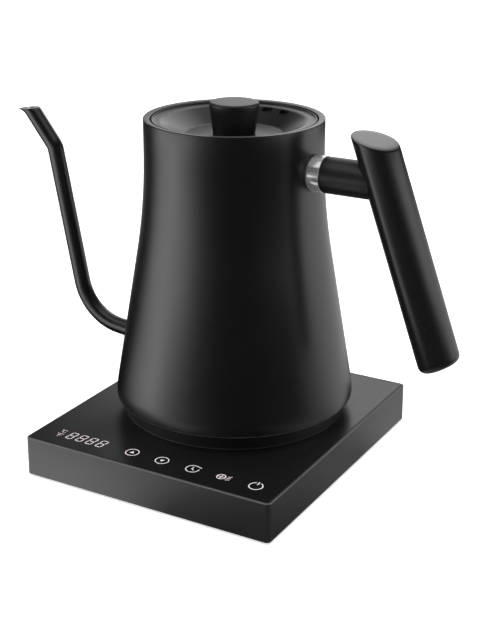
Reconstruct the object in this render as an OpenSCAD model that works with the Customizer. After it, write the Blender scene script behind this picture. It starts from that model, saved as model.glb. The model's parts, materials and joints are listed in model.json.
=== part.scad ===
// Gooseneck electric kettle on a flat power base with a touch control strip.
// Millimetres, +Z up. The origin is the middle of the power base, on the plane
// of its rubber feet. The spout points to -X, the handle to +X and the control
// strip faces -Y. Heights inside the kettle are measured from the top plate.

/* [Power base] */
// Width of the power base, left to right
base_w = 145; // [136:1:170]
// Depth of the power base, front to back
base_d = 161.5; // [154:0.5:185]
// Height of the housing, without its rubber feet
slab_h = 21; // [20.5:0.5:28]
// Radius of the four upright corners
corner_r = 2.4; // [1.5:0.1:6]
// Bevel along the top edges of the housing
edge_bevel = 0.8; // [0.3:0.1:1.2]
// Wall of the housing
base_wall = 2.4; // [1.8:0.1:3]
// Width of the rim that frames the top plate
frame_w = 1.5; // [1.3:0.1:1.7]
// Thickness of the top plate
plate_t = 2.4; // [1.6:0.1:3]
// Thickness of the deck under the top plate
deck_t = 2; // [1.2:0.1:2.5]
// Thickness of the bottom cover
cover_t = 2; // [1.8:0.1:2.6]
// How far the rubber feet stand out of the bottom cover
foot_out = 1; // [0.6:0.1:2]
// Radius of a rubber foot
foot_r = 6; // [4:0.5:8]
// Distance from the sides of the base to the middle of each foot
foot_inset = 20; // [16:1:24]
// Radius of the cord gland's bore in the back wall
gland_bore_r = 3.4; // [2.8:0.1:4]

/* [Control strip] */
// Distance from the front edge to the row of touch marks
mark_inset = 13; // [12:0.5:14]
// Distance between two touch marks
mark_pitch = 18; // [15:0.1:18.4]
// Place of the first touch mark, left of the middle
mark_start = 13.9; // [12:0.1:16]
// Radius of the ring round a touch mark
mark_r = 3.7; // [3:0.1:4.2]
// Width of the lines of the marks and digits
mark_line = 0.5; // [0.4:0.05:0.8]
// Height of a display digit
digit_h = 7.4; // [6.6:0.1:8.6]
// Width of a display digit
digit_w = 3.9; // [3.5:0.1:4.2]
// Distance between two display digits
digit_pitch = 6.3; // [5.9:0.1:6.6]
// Lean of the digits, in degrees
digit_lean = 8; // [0:1:10]

/* [Kettle body] */
// Distance from the middle of the base back to the kettle's axis
kettle_y = 12; // [8:0.5:14]
// Radius of the upright neck
neck_r = 47.2; // [44:0.1:52]
// Height of the rim above the top plate
rim_k = 160.5; // [152:0.5:175]
// Height of the upright part of the neck
neck_h = 17.7; // [14:0.1:22]
// Radius of the long hollow curve under the neck
flare_arc_r = 327; // [280:1:360]
// Slope of the lower body, in degrees from upright
flare_angle = 9.45; // [8:0.05:10]
// Thickness of the steel shell
shell_wall = 0.8; // [0.6:0.1:1.2]
// Width of the folded rim
rim_w = 3.4; // [3:0.1:4.2]
// Depth of the folded rim
rim_h = 3.9; // [3:0.1:5]
// Radius of the long curve that brings the side upright at its foot
low_arc_r = 40; // [20:1:60]
// Radius of the shell's bottom edge
edge_r = 1.2; // [1:0.1:2.4]
// Height of the shell's bottom edge above the top plate
shell_k = 8.4; // [7.5:0.1:11]
// How far the foot cover is set back from the widest part
foot_setback = 4.2; // [3.4:0.1:5]
// Height of the kettle's inner floor above the top plate
floor_k = 19; // [18.5:0.5:23]

/* [Spout] */
// Outer radius of the spout tube
spout_r = 4.4; // [3.8:0.1:5.2]
// Wall of the spout tube
spout_wall = 0.8; // [0.6:0.1:1.1]
// Height where the spout leaves the body
spout_root_k = 28.3; // [27:0.5:34]
// Rise of the spout as it leaves the body, in degrees
spout_root_rise = 6.8; // [4:0.1:12]
// Distance from the kettle's axis to the foot of the rising tube
spout_reach = 97.3; // [94:0.5:110]
// Radius of the lower bend, at the tube's middle
spout_bend_r = 28.7; // [20:0.5:30]
// Lean of the rising tube, in degrees from upright
spout_lean = 11.3; // [8:0.1:14]
// Height of the upper bend
spout_knee_k = 130.9; // [118:0.5:136]
// Radius of the upper bend, at the tube's middle
spout_knee_r = 9.1; // [7:0.1:16]
// Lean of the spout's tip, in degrees from upright
spout_tip_lean = 37.2; // [28:0.1:46]
// Height of the level cut at the tip
spout_tip_k = 152.4; // [148:0.5:160]

/* [Handle] */
// Height of the handle's stem
stem_k = 136.5; // [130:0.5:140]
// Radius of the plastic stem
stem_r = 9.4; // [8.5:0.1:10.5]
// Radius of the bright ferrule
ferrule_r = 9.5; // [9:0.1:11]
// Distance from the kettle's axis to the ferrule's outer end
ferrule_x = 53.5; // [52:0.5:60]
// Distance from the kettle's axis to the middle of the grip, at the stem
grip_x = 87; // [82:0.5:96]
// Lean of the grip, in degrees from upright
grip_lean = 19.5; // [14:0.5:24]
// Radius of the grip
grip_r = 11; // [10:0.1:12.5]
// Length of the grip above the stem, along the grip
grip_up = 22.3; // [20:0.5:30]
// Length of the grip below the stem, along the grip
grip_down = 96.5; // [85:0.5:105]
// Slope of the grip's top face, in degrees from level
grip_top_slope = 9; // [5:1:20]
// Rounding of the grip's lower end
grip_round = 3.8; // [2:0.1:5]
// Slope of the grip's lower end, in degrees from square
grip_end_slope = 8; // [0:1:10]
// Radius of the steel stud inside the handle
stud_r = 5; // [4:0.1:5.5]

/* [Lid] */
// How far the lid's edge lies below the rim
lid_drop = 1.1; // [0.6:0.1:1.6]
// Depth of the lid's dish below its edge
dish_depth = 7.7; // [6.5:0.1:8.2]
// Radius of the dish's flat floor
dish_floor_r = 26; // [23:0.5:27]
// Radius where the dish starts to fall
dish_edge_r = 36.2; // [35:0.1:37.5]
// Thickness of the lid's sheet
lid_sheet = 1.2; // [0.8:0.1:1.4]
// Depth of the part of the lid that goes into the neck
lid_plug_h = 9.5; // [8.8:0.1:12]
// Radius of the knob at its foot
knob_foot_r = 11; // [9:0.1:12]
// Radius of the knob at its top
knob_top_r = 12.95; // [12.2:0.05:15]
// Height of the knob
knob_h = 16.8; // [14:0.1:22]
// Number of steam vents
vent_n = 3; // [1:1:5]
// Angle between two steam vents, in degrees
vent_step = 18; // [15:1:20]

/* [Connector] */
// Radius of the connector's dome on the power base
dome_r = 20.5; // [20:0.1:21.5]
// Height of the dome above the top plate
dome_h = 8; // [7:0.1:8.4]
// Radius of the outer contact ring, at its middle
earth_ring_r = 15.2; // [14.8:0.1:15.6]
// Radius of the inner contact ring, at its middle
neutral_ring_r = 9.2; // [8.8:0.1:9.6]
// Radius of the centre contact pin
live_pin_r = 2; // [1.6:0.1:2.4]

/* [Fits] */
// Clearance round parts that are fitted and fixed
fit_gap = 0.1; // [0.05:0.01:0.15]
// Running clearance between the kettle and what stays on the base
lift_gap = 1; // [0.8:0.1:1.2]
// Gap between the lid and the rim
lid_gap = 0.5; // [0.3:0.05:0.7]

/* [Hidden] */

$fn = 96;
eps = 0.01;

// ---- Heights in the power base ----
slab_z = foot_out;
top_z = foot_out + slab_h;
deck_z = top_z - plate_t;
room_z = deck_z - deck_t;
cover_top_z = slab_z + cover_t;
board_lift = 2.5;
board_t = 1.6;
board_z = cover_top_z + board_lift;
part_z = board_z + board_t;

// ---- Plan of the power base ----
inner_w = base_w - 2*base_wall;
inner_d = base_d - 2*base_wall;
inner_corner_r = max(corner_r - base_wall, 0.6);
plate_w = base_w - 2*frame_w;
plate_d = base_d - 2*frame_w;
plate_corner_r = max(corner_r - frame_w, 0.6);
mark_y = -base_d/2 + mark_inset;
mark_n = 5;
mark_xs = [for (i = [0:mark_n - 1]) -mark_start + i*mark_pitch];
inlay_t = 0.4;
unit_x = -base_w/2 + 14.3;
unit_r = 1.5;
unit_line = 0.45;
unit_dot_r = 0.4;
unit_pitch = 4.6;
globe_r = 2.5;
digit_n = 4;
digit_inset = 20.7;
digit_x0 = -base_w/2 + digit_inset;
display_w = digit_n*digit_pitch + 1.6;
display_d = digit_h + 2.4;
display_x = digit_x0 + (digit_n - 1)*digit_pitch/2;
pad_r = 3.1;
pad_hole_r = pad_r + 0.6;

// ---- Boards ----
board_side_gap = 2;
control_board_d = 20;
control_board_w = inner_w - 2*board_side_gap;
control_board_y = mark_y;
power_board_w = 104;
power_board_d = 32;
power_board_y = inner_d/2 - 3.4 - power_board_d/2;
board_screw_r = 1.2;
board_head_r = 2.2;
board_head_h = 1.4;
post_r = 2.4;
board_screw_bite = 5;
control_screw_x = control_board_w/2 - 5;
power_screw_x = power_board_w/2 - 4;
part_gap = 0.05;
hole_play = 0.2;
head_play = 0.3;
ribbon_x = 39.5;
ribbon_w = 5.8;
ribbon_t = 0.8;
ribbon_on_board = 5;

// ---- Parts on the power board, placed from its left front corner ----
part_h = 9;
relay_at = [14, 12];
relay_size = [19, 15, part_h];
filter_at = [62, 11];
filter_size = [9, 17, part_h];
core_at = [39, 12];
core_w = 18;
yoke_d = 4;
coil_size = [14, 8, 8];
can_at = [77, 7];
can_pitch = 10;
can_r = 4;
buzzer_at = [24, 5.6];
buzzer_r = 4.8;
buzzer_h = 7;
buzzer_port_r = 1;
terminal_at = [78, 16];
terminal_size = [20, 11, part_h];
terminal_n = 3;
terminal_pitch = 6;
terminal_screw_r = 1.6;

// ---- Cover, screws and feet ----
boss_r = 3.6;
screw_r = 1.25;
head_r = 2.6;
head_h = 1.2;
cover_screw_len = 8;
side_boss_x = inner_w/2 - boss_r - 1.6;
front_boss_y = -base_d/2 + 34;
back_boss_y = inner_d/2 - boss_r - 3;
boss_places = [for (x = [-side_boss_x, side_boss_x], y = [front_boss_y, back_boss_y]) [x, y]];
foot_recess = 0.8;
slot_len = 16;
slot_w = 2;
slot_pitch = 6;
foot_places = [for (x = [-1, 1], y = [-1, 1])
    [x*(base_w/2 - foot_inset), y*(base_d/2 - foot_inset)]];

// ---- Cord gland in the back wall ----
gland_x = 40;
gland_z = slab_z + slab_h/2;
gland_neck_r = gland_bore_r + 1.8;
gland_collar_r = gland_neck_r + 1;
gland_flange_r = gland_neck_r + 1.6;
gland_flange_t = 1.2;
gland_collar_t = 1.2;

// ---- Connector ----
dome_flange_r = dome_r + 7;
dome_flange_t = 2;
connector_boss_h = dome_flange_t;
boss_wall = 2.4;
dome_tail_r = 12;
dome_tail_h = 2.6;
slot_half = 1.5;
slot_bottom_k = -1;
ring_half = 0.4;
contact_t = 0.5;
contact_space = 0.3;
ring_low_k = 2;
cup_in_r = dome_r + lift_gap;
cup_out_r = cup_in_r + 2.4;
cup_roof_k = dome_h + 1.6;
cup_roof_t = 2.2;
cup_flange_r = cup_out_r + 8;
cup_flange_t = 2;
seal_t = 1;
seal_out_r = dome_r + 2.4;
dome_screw_r = dome_r + 3.6;

// ---- Kettle body ----
straight_k = rim_k - neck_h;
flare_top_r = neck_r + flare_arc_r*(1 - cos(flare_angle));
flare_top_k = straight_k - flare_arc_r*sin(flare_angle);
arc_steps = 20;

// radius of the shell's lower body at height k, moved inwards by off
function lower_r(k, off = 0) =
    flare_top_r + (flare_top_k - k)*tan(flare_angle) - off/cos(flare_angle);

// radius of the shell at a height in the hollow curve or the neck
function upper_r(k, off = 0) =
    k >= straight_k ? neck_r - off
    : neck_r + flare_arc_r - sqrt(pow(flare_arc_r + off, 2) - pow(straight_k - k, 2));

function shell_r(k, off = 0) = k < flare_top_k ? lower_r(k, off) : upper_r(k, off);

function arc(cx, cy, r, from, to, n = 6) =
    [for (i = [0:n]) let (a = from + (to - from)*i/n) [cx + r*cos(a), cy + r*sin(a)]];

edge_k = shell_k + edge_r;
low_arc_k = edge_k + low_arc_r*sin(flare_angle);
wide_r = lower_r(low_arc_k) + low_arc_r*(1 - cos(flare_angle));

// the side of the shell from its bottom edge to the top of the hollow curve
function shell_side(off) = concat(
    arc(wide_r - edge_r, edge_k, edge_r - off, -90, 0, 6),
    arc(wide_r - low_arc_r, edge_k, low_arc_r - off, 1, flare_angle, 6),
    arc(neck_r + flare_arc_r, straight_k, flare_arc_r + off,
        180 + flare_angle, 180, arc_steps));

foot_cover_r = wide_r - foot_setback;
lip_r = foot_cover_r - 1.5;
rim_in_r = neck_r - rim_w;
hem_k = rim_k - rim_h;
rim_bevel = 0.4;

// ---- Foot cover and what it holds ----
foot_wall = 2.4;
foot_rise = 0.6;
foot_plate_t = 2.2;
foot_plate_k = foot_rise + foot_plate_t;
spigot_h = 4.6;
spigot_t = 1.8;
foot_screw_n = 3;
foot_screw_bite = 6;
foot_screw_r = foot_cover_r - 9;
stud_post_r = 3;
stud_post_k = foot_plate_k + 2.2;
foot_boss_r = 4.6;
connector_screw_n = 3;
connector_screw_r = cup_out_r + 4.2;

// ---- Heater ----
floor_t = 1;
floor_flange_h = 3.4;
floor_under_k = floor_k - floor_t;
heater_plate_t = 2.8;
heater_plate_r = 47;
heater_under_k = floor_under_k - heater_plate_t;
element_r = 3.2;
element_ring_r = 31;
element_sweep = 300;
cold_pin_r = 1.4;
cold_pin_len = 8;
element_k = heater_under_k - element_r - 0.05;
cutout_r = 5.6;
cutout_h = 6;
cutout_place_r = 41;
fuse_r = 1.6;
fuse_len = 11;
probe_r = 2.4;
probe_place_r = 53;
probe_turn = 60;
probe_out = 9;
seal_r = probe_r + 1.9;

// ---- Neck ring and lid ----
seat_k = hem_k;
neck_in_r = neck_r - shell_wall - fit_gap;
lid_r = rim_in_r - lid_gap;
bore_r = rim_in_r - 2.5;
ring_wall = 1;
ring_plate_t = 1.2;
lid_edge_k = rim_k - lid_drop;
dish_floor_k = lid_edge_k - dish_depth;
ledge_fall = 1;
dish_round_out = 3;
dish_round_in = 2.4;
dish_ledge_k = lid_edge_k - ledge_fall;
dish_slope = atan2(dish_ledge_k - dish_floor_k, dish_edge_r - dish_floor_r);
in_cut = dish_round_in*tan(dish_slope/2);
out_cut = dish_round_out*tan(dish_slope/2);
plug_r = bore_r - 1.4;
plug_low_k = seat_k - lid_plug_h;
cup_t = 1;
cup_post_r = 6;
cup_hole_n = 8;
cup_hole_r = 2;
cup_hole_place_r = 24;
gasket_h = 3.2;
gasket_t = 1.2;
gasket_lip = 0.9;
vent_r = 35.4;
vent_len = 6.2;
vent_w = 3;
vent_turn = 90;
knob_bevel = 1;
lid_screw_r = 1.5;
lid_screw_head_r = 3;
lid_screw_head_h = 2;
lid_screw_len = 12;
lid_washer_r = 5;
lid_washer_t = 0.8;

// ---- Handle ----
ferrule_bevel = 0.3;
stud_len_in_grip = 6;
stud_end_x = grip_x + stud_len_in_grip - grip_r/2;
grip_wall = 2.6;
grip_hollow_top = 18;
cap_bite = 5;
grub_x = ferrule_x + 7;
grub_r = 1.5;
grub_len = stem_r - stud_r - 0.6;

// ---- Spout ----
spout_wall_x = shell_r(spout_root_k, shell_wall);
spout_start_x = spout_wall_x - 0.6;
rise_heading = 90 + spout_lean;
root_heading = 180 - spout_root_rise;
tip_heading = 90 + spout_tip_lean;
bend_turn = root_heading - rise_heading;
knee_turn = tip_heading - rise_heading;
bend_cut = spout_bend_r*tan(bend_turn/2);
knee_cut = spout_knee_r*tan(knee_turn/2);
bend_corner = [-spout_reach,
    spout_root_k + (spout_reach - spout_start_x)*tan(spout_root_rise)];
knee_corner = bend_corner
    + (spout_knee_k - bend_corner[1])*[-tan(spout_lean), 1];
tip_point = knee_corner
    + (spout_tip_k - knee_corner[1])*[-tan(spout_tip_lean), 1];
run_in = 0.4;
bend_swell = 0.03;
lip_reach = 3;
lip_lean = 60;
lip_tube_r = spout_r*0.7;

// ==================== Shared shapes ====================

function heading(a) = [cos(a), sin(a)];

// block with rounded upright corners, centred in plan
module rounded_block(w, d, h, r) {
    linear_extrude(h) rounded_plan(w, d, r);
}

module rounded_plan(w, d, r) {
    square([w - 2*r, d], center = true);
    square([w, d - 2*r], center = true);
    for (x = [-1, 1], y = [-1, 1])
        translate([x*(w/2 - r), y*(d/2 - r)]) circle(r, $fn = 48);
}

module ring(outer, inner, h) {
    difference() {
        cylinder(h = h, r = outer);
        translate([0, 0, -1]) cylinder(h = h + 2, r = inner);
    }
}

module at_all(places) {
    for (p = places) translate([p[0], p[1], 0]) children();
}

module around(n, r, turn = 0) {
    for (i = [0:n - 1]) rotate([0, 0, turn + i*360/n]) translate([r, 0, 0]) children();
}

// the kettle's own frame: its axis, with height 0 on the top plate
module on_plate() {
    translate([0, kettle_y, top_z]) children();
}

// pan head screw that points up, its head's underside at height 0
module screw_up(shank_r, shank_h, cap_r, cap_h) {
    translate([0, 0, -cap_h]) cylinder(h = cap_h, r = cap_r, $fn = 32);
    cylinder(h = shank_h, r = shank_r, $fn = 32);
}

// body of revolution bounded by the shell's outer face, grown by more
module shell_outside(more = 0) {
    rotate_extrude()
        polygon(concat([[0, shell_k]], shell_side(-more),
            [[neck_r + more, rim_k], [0, rim_k]]));
}

// ==================== Power base ====================

module base_housing() {
    color("#242425") difference() {
        union() {
            difference() {
                housing_outside();
                translate([0, 0, slab_z - 1])
                    rounded_block(inner_w, inner_d, room_z - slab_z + 1, inner_corner_r);
            }
            at_all(boss_places) translate([0, 0, cover_top_z])
                cylinder(h = room_z - cover_top_z + eps, r = boss_r, $fn = 48);
            connector_bosses();
            board_posts();
        }
        plate_recess();
        translate([0, kettle_y, room_z - 1])
            cylinder(h = deck_t + 2, r = dome_r + fit_gap);
        display_window(fit_gap);
        at_all([for (x = mark_xs) [x, mark_y]]) translate([0, 0, room_z - 1])
            cylinder(h = deck_t + 2, r = pad_hole_r, $fn = 48);
        at_all(boss_places) translate([0, 0, cover_top_z - 1])
            cylinder(h = cover_screw_len + 2, r = screw_r + part_gap, $fn = 32);
        gland_hole();
        connector_screw_holes();
        board_screw_holes();
    }
}

module housing_outside() {
    translate([0, 0, slab_z])
        rounded_block(base_w, base_d, slab_h - edge_bevel, corner_r);
    translate([0, 0, top_z - edge_bevel]) bevel_frame();
}

// bevelled top edge: straight chamfers along the sides, cones at the corners
module bevel_frame() {
    low = [base_w/2, base_d/2];
    hull() for (x = [-1, 1], y = [-1, 1])
        translate([x*(low[0] - corner_r), y*(low[1] - corner_r), 0])
            cylinder(h = edge_bevel, r1 = corner_r, r2 = corner_r - edge_bevel, $fn = 32);
}

module plate_recess() {
    translate([0, 0, deck_z])
        rounded_block(plate_w, plate_d, plate_t + 1, plate_corner_r);
}

module display_window(gap) {
    translate([display_x - display_w/2 - gap, mark_y - display_d/2 - gap, room_z - 1])
        cube([display_w + 2*gap, display_d + 2*gap, deck_t + 2]);
}

module connector_bosses() {
    translate([0, kettle_y, room_z - connector_boss_h])
        difference() {
            cylinder(h = connector_boss_h + eps, r = dome_flange_r + boss_wall);
            translate([0, 0, -1])
                cylinder(h = connector_boss_h + 1, r = dome_flange_r + fit_gap);
        }
}

module connector_screw_holes() {
    translate([0, kettle_y, room_z - 1])
        around(connector_screw_n, dome_screw_r, 30)
            cylinder(h = deck_t - 0.4 + 1, r = screw_r + part_gap, $fn = 32);
}

module board_posts() {
    at_all(board_screw_places()) translate([0, 0, part_z])
        cylinder(h = room_z - part_z + eps, r = post_r, $fn = 32);
}

function board_screw_places() = concat(
    [for (x = [-1, 1]) [x*control_screw_x, control_board_y + control_board_d/2 - 3]],
    [for (x = [-1, 1]) [x*power_screw_x, power_board_y - power_board_d/2 + 4]]);

module board_screw_holes() {
    at_all(board_screw_places()) translate([0, 0, part_z - 1])
        cylinder(h = board_screw_bite + 2, r = board_screw_r + part_gap, $fn = 32);
}

module gland_hole() {
    translate([gland_x, base_d/2 + 1, gland_z]) rotate([90, 0, 0])
        cylinder(h = base_wall + 2, r = gland_neck_r + part_gap);
}

module base_top_plate() {
    color("#1b1b1c") difference() {
        translate([0, 0, deck_z])
            rounded_block(plate_w - 2*fit_gap, plate_d - 2*fit_gap, plate_t,
                plate_corner_r);
        translate([0, kettle_y, deck_z - 1]) {
            cylinder(h = plate_t + 2, r = dome_r + fit_gap);
            cylinder(h = seal_t + 1, r = seal_out_r + fit_gap);
        }
        translate([0, 0, top_z - inlay_t]) linear_extrude(inlay_t + 1) {
            digit_plan(part_gap);
            mark_plan(part_gap);
        }
    }
}

// a straight stroke with square ends between two points
module stroke(a, b, w) {
    d = b - a;
    translate(a) rotate([0, 0, atan2(d[1], d[0])])
        translate([-w/2, -w/2]) square([norm(d) + w, w]);
}

// one bar of a seven-segment digit, pointed at both ends
module bar(a, b, w) {
    d = b - a;
    len = norm(d) - 0.3;
    translate((a + b)/2) rotate([0, 0, atan2(d[1], d[0])])
        polygon([[-len/2, 0], [-len/2 + w/2, w/2], [len/2 - w/2, w/2],
            [len/2, 0], [len/2 - w/2, -w/2], [-len/2 + w/2, -w/2]]);
}

// the seven bars of an eight; grow widens the bars for their pockets
module eight(grow) {
    x = (digit_w - mark_line)/2;
    y = (digit_h - mark_line)/2;
    w = mark_line + 2*grow;
    slant = tan(digit_lean);
    corner = function (u, v) [u*x + v*y*slant, v*y];
    for (v = [-1, 0, 1]) bar(corner(-1, v), corner(1, v), w);
    for (u = [-1, 1], v = [0, 1]) bar(corner(u, v - 1), corner(u, v), w);
}

module digit_plan(grow) {
    for (i = [0:digit_n - 1])
        translate([digit_x0 + i*digit_pitch, mark_y]) eight(grow);
}

module display_digits() {
    color("#e9e2e4") translate([0, 0, top_z - inlay_t])
        linear_extrude(inlay_t) digit_plan(0);
}

// ring with a gap, as wide as the marks' lines
module mark_ring(grow, gap_at = 90, gap = 0) {
    w = mark_line + 2*grow;
    difference() {
        circle(mark_r + grow, $fn = 64);
        circle(mark_r - mark_line - grow, $fn = 64);
        if (gap > 0) rotate([0, 0, gap_at])
            translate([mark_r/2, 0]) square([mark_r + w, gap - 2*grow], center = true);
    }
}

module triangle(size, grow) {
    s = size + grow;
    polygon([[-s, -0.6*s], [s, -0.6*s], [0, s]]);
}

// letter C with its degree ring, and under it the same for F
module unit_sign(grow) {
    w = unit_line + 2*grow;
    translate([0, unit_pitch/2]) {
        difference() {
            circle(unit_r + grow, $fn = 48);
            circle(unit_r - unit_line - grow, $fn = 48);
            translate([unit_r, 0]) square([unit_r, unit_r - 2*grow], center = true);
        }
        translate([-unit_r - unit_dot_r, unit_r]) circle(unit_dot_r + grow, $fn = 24);
    }
    translate([0, -unit_pitch/2]) {
        stroke([-unit_r/2, -unit_r], [-unit_r/2, unit_r], w);
        stroke([-unit_r/2, unit_r], [unit_r, unit_r], w);
        stroke([-unit_r/2, 0], [unit_r/2, 0], w);
        translate([-unit_r - unit_dot_r, unit_r]) circle(unit_dot_r + grow, $fn = 24);
    }
}

module mark_plan(grow) {
    w = mark_line + 2*grow;
    translate([unit_x, mark_y]) unit_sign(grow);
    translate([mark_xs[0], mark_y]) {
        mark_ring(grow);
        triangle(1.3, grow);
    }
    translate([mark_xs[1], mark_y]) {
        mark_ring(grow);
        mirror([0, 1]) triangle(1.3, grow);
    }
    translate([mark_xs[2], mark_y]) {
        mark_ring(grow, 35, 2.6);
        stroke([-0.3, -0.2], [-0.3, 1.6], w);
        stroke([-0.3, -0.2], [1, -1], w);
        stroke([1.6, 3.2], [3.6, 2.6], w);
    }
    translate([mark_xs[3], mark_y]) {
        translate([-1.4, 0]) difference() {
            circle(globe_r + grow, $fn = 64);
            circle(globe_r - unit_line - grow, $fn = 64);
        }
        stroke([-1.4, -globe_r + unit_line/2], [-1.4, globe_r - unit_line/2],
            unit_line + 2*grow);
        stroke([-1.4 - globe_r + unit_line/2, 0], [-1.4 + globe_r - unit_line/2, 0],
            unit_line + 2*grow);
        for (y = [-1, 0, 1])
            stroke([2, 1.6*y - 0.4], [3.5, 1.6*y + 0.4], unit_line + 2*grow);
    }
    translate([mark_xs[4], mark_y]) {
        mark_ring(grow, 90, 2.4);
        stroke([0, mark_r - 2.2], [0, mark_r + 0.2], w);
    }
}

module touch_marks() {
    color("#e9e2e4") translate([0, 0, top_z - inlay_t])
        linear_extrude(inlay_t) mark_plan(0);
}

module display_module() {
    color("#d8d6d0")
        translate([display_x - display_w/2, mark_y - display_d/2, part_z])
            cube([display_w, display_d, deck_z - part_z]);
}

module control_board() {
    color("#1d5a38") difference() {
        translate([-control_board_w/2, control_board_y - control_board_d/2, board_z])
            cube([control_board_w, control_board_d, board_t]);
        board_screw_holes_through();
    }
}

module board_screw_holes_through() {
    at_all(board_screw_places()) translate([0, 0, board_z - 1])
        cylinder(h = board_t + 2, r = board_screw_r + hole_play, $fn = 32);
}

module touch_pads() {
    color("#3a3a3d") at_all([for (x = mark_xs) [x, mark_y]])
        translate([0, 0, part_z])
            cylinder(h = deck_z - part_z, r = pad_r, $fn = 48);
}

module power_board() {
    color("#1d5a38") difference() {
        translate([-power_board_w/2, power_board_y - power_board_d/2, board_z])
            cube([power_board_w, power_board_d, board_t]);
        board_screw_holes_through();
    }
}

// a part on the power board, placed from the board's left front corner
module on_power_board(at) {
    translate([at[0] - power_board_w/2, at[1] + power_board_y - power_board_d/2, part_z])
        children();
}

module relay() {
    color("#2d4f8f") on_power_board(relay_at) cube(relay_size);
}

module filter_capacitor() {
    color("#c9a227") on_power_board(filter_at) cube(filter_size);
}

module transformer() {
    color("#c8b560") on_power_board(core_at) {
        cube([core_w, yoke_d, part_h]);
        translate([(core_w - coil_size[0])/2, yoke_d, 0]) cube(coil_size);
        translate([0, yoke_d + coil_size[1], 0]) cube([core_w, yoke_d, part_h]);
    }
}

module electrolytic_capacitors() {
    color("#2b2b33") for (i = [0, 1])
        on_power_board(can_at + [i*can_pitch, 0])
            cylinder(h = part_h, r = can_r, $fn = 48);
}

module buzzer() {
    color("#161616") on_power_board(buzzer_at) difference() {
        cylinder(h = buzzer_h, r = buzzer_r, $fn = 48);
        translate([0, 0, buzzer_h - 1]) cylinder(h = 2, r = buzzer_port_r, $fn = 32);
    }
}

module terminal_block() {
    first = (terminal_size[0] - (terminal_n - 1)*terminal_pitch)/2;
    color("#3d6b46") on_power_board(terminal_at) difference() {
        cube(terminal_size);
        for (i = [0:terminal_n - 1])
            translate([first + i*terminal_pitch, terminal_size[1]/2, part_h - 3])
                cylinder(h = 4, r = terminal_screw_r, $fn = 32);
    }
}

module ribbon_cable() {
    y0 = control_board_y + control_board_d/2 - ribbon_on_board;
    y1 = power_board_y - power_board_d/2 + ribbon_on_board;
    color("#9a9da2") translate([ribbon_x, y0, part_z])
        cube([ribbon_w, y1 - y0, ribbon_t]);
}

module board_screws() {
    color("#b9bbbe") at_all(board_screw_places()) translate([0, 0, board_z])
        screw_up(board_screw_r, board_t + board_screw_bite, board_head_r,
            board_head_h);
}

module base_connector() {
    top = dome_h;
    under = -plate_t - deck_t;
    color("#262628") on_plate() difference() {
        union() {
            rotate_extrude() polygon([[0, under], [dome_r, under], [dome_r, top - 1],
                [dome_r - 1, top], [0, top]]);
            translate([0, 0, under - dome_flange_t])
                cylinder(h = dome_flange_t, r = dome_flange_r);
            translate([0, 0, under - dome_flange_t - dome_tail_h])
                cylinder(h = dome_tail_h + eps, r = dome_tail_r);
        }
        for (r = [neutral_ring_r, earth_ring_r]) translate([0, 0, slot_bottom_k])
            ring(r + slot_half, r - slot_half, dome_h - slot_bottom_k + 1);
        translate([0, 0, slot_bottom_k])
            cylinder(h = dome_h - slot_bottom_k + 1, r = live_pin_r + slot_half);
        translate([0, 0, under - dome_flange_t - 1])
            around(connector_screw_n, dome_screw_r, 30)
                cylinder(h = dome_flange_t + 2, r = screw_r + hole_play, $fn = 32);
    }
}

// brass springs in the dome, each just inside the ring that it touches
module base_contacts() {
    color("#c9a24a") on_plate() translate([0, 0, slot_bottom_k]) {
        for (r = [neutral_ring_r, earth_ring_r]) {
            outer = r - ring_half - contact_space;
            ring(outer, outer - contact_t, dome_h - slot_bottom_k - 1.2);
        }
        ring(live_pin_r + contact_space + contact_t, live_pin_r + contact_space,
            dome_h - slot_bottom_k - 1.2);
    }
}

module connector_seal() {
    color("#8c2f2a") on_plate() translate([0, 0, -plate_t])
        ring(seal_out_r, dome_r + fit_gap, seal_t);
}

module base_connector_screws() {
    color("#b9bbbe") on_plate()
        translate([0, 0, -plate_t - deck_t - dome_flange_t])
            around(connector_screw_n, dome_screw_r, 30)
                screw_up(screw_r, dome_flange_t + deck_t - 0.6, head_r, head_h);
}

module cord_gland() {
    color("#141414") translate([gland_x, base_d/2, gland_z]) rotate([-90, 0, 0])
        rotate_extrude() polygon([
            [gland_bore_r, -base_wall - gland_collar_t],
            [gland_collar_r - 0.5, -base_wall - gland_collar_t],
            [gland_collar_r, -base_wall],
            [gland_neck_r, -base_wall], [gland_neck_r, 0],
            [gland_flange_r, 0], [gland_flange_r - 0.5, gland_flange_t],
            [gland_bore_r, gland_flange_t]]);
}

module bottom_cover() {
    color("#1a1a1b") difference() {
        translate([0, 0, slab_z])
            rounded_block(inner_w - 2*fit_gap, inner_d - 2*fit_gap, cover_t,
                inner_corner_r);
        at_all(foot_places) translate([0, 0, slab_z - 1])
            cylinder(h = foot_recess + 1, r = foot_r + fit_gap, $fn = 64);
        at_all(boss_places) translate([0, 0, slab_z - 1]) {
            cylinder(h = head_h + 1, r = head_r + head_play, $fn = 48);
            cylinder(h = cover_t + 2, r = screw_r + hole_play, $fn = 32);
        }
        for (i = [-2:2])
            translate([-slot_len/2, kettle_y + i*slot_pitch - slot_w/2, slab_z - 1])
                cube([slot_len, slot_w, cover_t + 2]);
    }
}

module cover_screws() {
    color("#b9bbbe") at_all(boss_places) translate([0, 0, slab_z + head_h])
        screw_up(screw_r, cover_screw_len, head_r, head_h - 0.2);
}

module rubber_feet() {
    color("#101010") at_all(foot_places)
        cylinder(h = foot_out + foot_recess, r = foot_r, $fn = 64);
}

// ==================== Contact rings of the kettle ====================

module earth_ring() {
    color("#c9a24a") on_plate() translate([0, 0, ring_low_k])
        ring(earth_ring_r + ring_half, earth_ring_r - ring_half, cup_roof_k - ring_low_k);
}

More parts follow.
